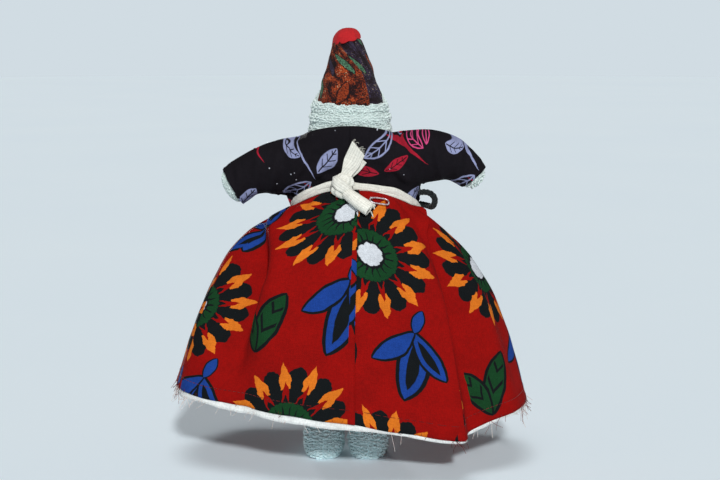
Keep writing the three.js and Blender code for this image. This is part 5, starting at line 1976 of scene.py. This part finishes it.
def foot_surface(side):
    """A stuffed foot by direction and row: row 0 at the middle of the sole, 1 at the top."""
    middle = Vector((LEGS_X + side * LEG_SPREAD, (FOOT_HEEL_Y + FOOT_TOE_Y) / 2, 0))
    half_length = (FOOT_HEEL_Y - FOOT_TOE_Y) / 2

    def surface(angle, row):
        row = clamp(row)
        if row < SOLE_SHARE:
            spread, share = math.cos(SOLE_LEAN) ** 0.6 * row / SOLE_SHARE, 0.0
        else:
            lean = lerp(-SOLE_LEAN, math.pi / 2, (row - SOLE_SHARE) / (1 - SOLE_SHARE))
            spread = max(math.cos(lean), 0) ** 0.6
            share = (math.sin(lean) + math.sin(SOLE_LEAN)) / (1 + math.sin(SOLE_LEAN))
        outline = oval(angle, FOOT_HALF_WIDTH - 0.5, half_length - 0.5, 2.4)
        spot = middle + outline * spread
        toward_toe = clamp((FOOT_HEEL_Y - spot.y) / (2 * half_length))
        height = lerp(FOOT_HEIGHT, TOE_HEIGHT, smooth(toward_toe, 0.4, 1)) - 0.6
        spot.z = 0.25 + height * share
        return spot

    return surface


class RAGDOLL_OT_legs(bpy.types.Operator):
    """Stuff the terry legs and feet"""
    bl_idname = "ragdoll.legs"
    bl_label = "Stuff Legs"

    def execute(self, context):
        for side, name in ((1, "left"), (-1, "right")):
            surface = foot_surface(side)
            bm = bmesh.new()
            closed_body(bm, surface, 64, 44)
            places = [0.31 + 0.68 * k / FOOT_ROWS for k in range(FOOT_ROWS)]
            add_terry(bm, surface, places, low=0.9, seed=30 + side, ribs=FOOT_RIBS, grow=1.25)
            for vert in bm.verts:
                vert.co.z = max(vert.co.z, FLOOR_GAP)
            foot = finish_piece(name + "_foot_terry", bm, "terry_feet_ground", "terry_feet")
            carried(foot, "leg_" + name, "terry_shade", name + "_foot")
            self.leg(side, name)
        return {"FINISHED"}

    def leg(self, side, name):
        """The leg's roll: a round hip, a long taper and the ankle that sits in the foot."""
        outline = line_through([
            (0, 0, HIP_Z + HIP_RADIUS - 0.4), (8.6, 0, HIP_Z + 8.6), (HIP_RADIUS - 0.4, 0, HIP_Z),
            (11.6, 0, 92), (11, 0, 66), (10.3, 0, 42), (9.3, 0, 22), (7.2, 0, ANKLE_Z + 0.3),
        ])
        x = LEGS_X + side * LEG_SPREAD
        sides, rows = 56, 150

        def place(i, j):
            angle = i / sides * TURN
            ring = outline(1 - j / rows)
            relief = LEG_RELIEF * math.sin(ring.z / TERRY_ROW * TURN) * math.sin(angle * 22 + ring.z * 2)
            radius = max(ring.x + relief, 0) if 0 < j < rows else 0
            return ring_point(x, radius, angle, ring.z)

        bm = bmesh.new()
        closed_grid(bm, sides, rows, place)
        leg = finish_piece(name + "_leg_terry", bm, "terry_feet")
        carried(leg, "leg_" + name, "terry_shade", name + "_leg")


# The stuffed middle: solid, piece, how fine its cloth is in millimetres, and the body that it rides on
CORES = (("torso", "torso_calico", 1.5, "trunk"), ("neck_roll", "neck_calico", 0.8, "neck"))


class RAGDOLL_OT_torso(bpy.types.Operator):
    """Stuff the calico torso and neck inside the blouse"""
    bl_idname = "ragdoll.torso"
    bl_label = "Stuff Torso"

    def execute(self, context):
        for node, name, voxel, body in CORES:
            bm = bmesh.new()
            bm.from_mesh(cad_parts[node].data)
            bmesh.ops.remove_doubles(bm, verts=bm.verts, dist=1e-6)
            bm.transform(Matrix.Scale(1 / MM, 4))
            piece = finish_piece(name, bm, "calico")
            remesh = piece.modifiers.new("cloth", "REMESH")
            remesh.mode = "VOXEL"
            remesh.voxel_size = voxel * MM
            remesh.use_smooth_shade = True
            self.apply(context, piece)
            bm = bmesh.new()
            bm.from_mesh(piece.data)
            bm.transform(Matrix.Scale(1 / MM, 4))
            for _ in range(4):
                bmesh.ops.smooth_vert(bm, verts=bm.verts, factor=0.5, use_axis_x=True, use_axis_y=True,
                                      use_axis_z=True)
            push_out(bm, lambda co: ripple(co.x, co.y, co.z, 9, 2) * 0.3 - 0.25)
            layer = uv_layer(bm)
            for face in bm.faces:
                for loop in face.loops:
                    loop[layer].uv = (loop.vert.co.x + loop.vert.co.y, loop.vert.co.z)
            bm.transform(Matrix.Scale(MM, 4))
            bm.normal_update()
            bm.to_mesh(piece.data)
            bm.free()
            carried(piece, body, "core_cloth", node)
        return {"FINISHED"}

    def apply(self, context, piece):
        """Keeps the mesh as its modifiers leave it."""
        graph = context.evaluated_depsgraph_get()
        made = bpy.data.meshes.new_from_object(piece.evaluated_get(graph))
        piece.modifiers.clear()
        piece.data = made


# Stage


FLOOR_REACHES = (0, 400, 1500, 6000)

# Each sun: its place in metres, from which it shines on the origin, its spread in degrees and its power
SUNS = (
    ("key", (-0.2, 1.45, 0.86), 5, 2.33), ("low", (0.1, 1.5, 0.2), 12, 0.25),
    ("top", (0.1, 0.3, 1.6), 30, 0.85), ("front", (0.4, -1.5, 0.13), 9, 1.7),
)


class RAGDOLL_OT_stage(bpy.types.Operator):
    """Lay the pale floor, hang the soft lights and place the camera"""
    bl_idname = "ragdoll.stage"
    bl_label = "Lay Stage"

    def execute(self, context):
        self.floor()
        self.lights(context)
        self.camera(context)
        return {"FINISHED"}

    def floor(self):
        """A round floor of white paper, wide enough for every side."""
        bm = bmesh.new()
        line = [bm.verts.new((reach, 0, 0)) for reach in FLOOR_REACHES]
        edges = [bm.edges.new(pair) for pair in zip(line, line[1:])]
        bmesh.ops.spin(bm, geom=[*line, *edges], cent=(0, 0, 0), axis=UP, angle=TURN, steps=64,
                       use_merge=True)
        bmesh.ops.remove_doubles(bm, verts=bm.verts, dist=0.01)
        bmesh.ops.recalc_face_normals(bm, faces=bm.faces)
        bmesh.ops.reverse_faces(bm, faces=bm.faces)
        finish_piece("studio_floor", bm, "studio_paper")

    def lights(self, context):
        """A weak light from all sides, paper behind everything that is seen, and the suns."""
        world = bpy.data.worlds.new("studio_air")
        world.use_nodes = True
        w = Wiring(world.node_tree)
        air = world.node_tree.nodes["Background"]
        w.feed(air.inputs["Color"], screen(250, 251, 253))
        w.feed(air.inputs["Strength"], 0.08)
        paper = w.add("ShaderNodeBackground", {"Color": screen(209, 220, 227)}).outputs[0]
        seen = w.add("ShaderNodeLightPath").outputs["Is Camera Ray"]
        shown = w.add("ShaderNodeMixShader", {0: seen, 1: air.outputs[0], 2: paper}).outputs[0]
        w.feed(world.node_tree.nodes["World Output"].inputs["Surface"], shown)
        context.scene.world = world
        for name, place, spread, power in SUNS:
            light = bpy.data.lights.new(name, "SUN")
            light.energy = power
            light.angle = math.radians(spread)
            lamp = bpy.data.objects.new(name, light)
            context.scene.collection.objects.link(lamp)
            lamp.location = place
            aim = -lamp.location
            lamp.rotation_euler = aim.to_track_quat("-Z", "Y").to_euler()

    def camera(self, context):
        lens = bpy.data.cameras.new("camera")
        lens.sensor_fit = "HORIZONTAL"
        lens.angle = 2 * math.atan(math.tan(VIEW_HEIGHT_ANGLE / 2) * IMAGE_WIDTH / IMAGE_HEIGHT)
        eye = bpy.data.objects.new("camera", lens)
        context.scene.collection.objects.link(eye)
        aim = VIEW_AIM * MM
        away = Vector((0, math.cos(VIEW_ELEVATION), math.sin(VIEW_ELEVATION))) * VIEW_DISTANCE * MM
        eye.location = aim + away
        eye.rotation_euler = (-away).to_track_quat("-Z", "Y").to_euler()
        context.scene.camera = eye
        context.scene.view_settings.view_transform = "Standard"


OPERATORS = [
    RAGDOLL_OT_stage, RAGDOLL_OT_hip_cord, RAGDOLL_OT_skirt, RAGDOLL_OT_petticoat, RAGDOLL_OT_blouse,
    RAGDOLL_OT_head, RAGDOLL_OT_hood, RAGDOLL_OT_face, RAGDOLL_OT_waistband, RAGDOLL_OT_pin, RAGDOLL_OT_arms,
    RAGDOLL_OT_legs, RAGDOLL_OT_torso,
]


class RAGDOLL_PT_panel(bpy.types.Panel):
    bl_idname = "RAGDOLL_PT_panel"
    bl_label = "Rag Doll"
    bl_space_type = "VIEW_3D"
    bl_region_type = "UI"
    bl_category = "Rag Doll"

    def draw(self, context):
        for part in ("skirt", "blouse", "terry"):
            box = self.layout.box()
            box.label(text=part.capitalize())
            group = getattr(context.scene.rag_doll, part)
            for name in group.bl_rna.properties.keys():
                if name not in ("rna_type", "name"):
                    box.prop(group, name)
        for operator in OPERATORS:
            self.layout.operator(operator.bl_idname)


CLASSES = [SkirtSettings, BlouseSettings, TerrySettings, DollSettings, *OPERATORS, RAGDOLL_PT_panel]


def register():
    for each in CLASSES:
        bpy.utils.register_class(each)
    bpy.types.Scene.rag_doll = PointerProperty(type=DollSettings)


def unregister():
    del bpy.types.Scene.rag_doll
    for each in reversed(CLASSES):
        bpy.utils.unregister_class(each)


def main():
    register()
    for operator in OPERATORS:
        area, name = operator.bl_idname.split(".")
        getattr(getattr(bpy.ops, area), name)()


if __name__ == "__main__":
    main()
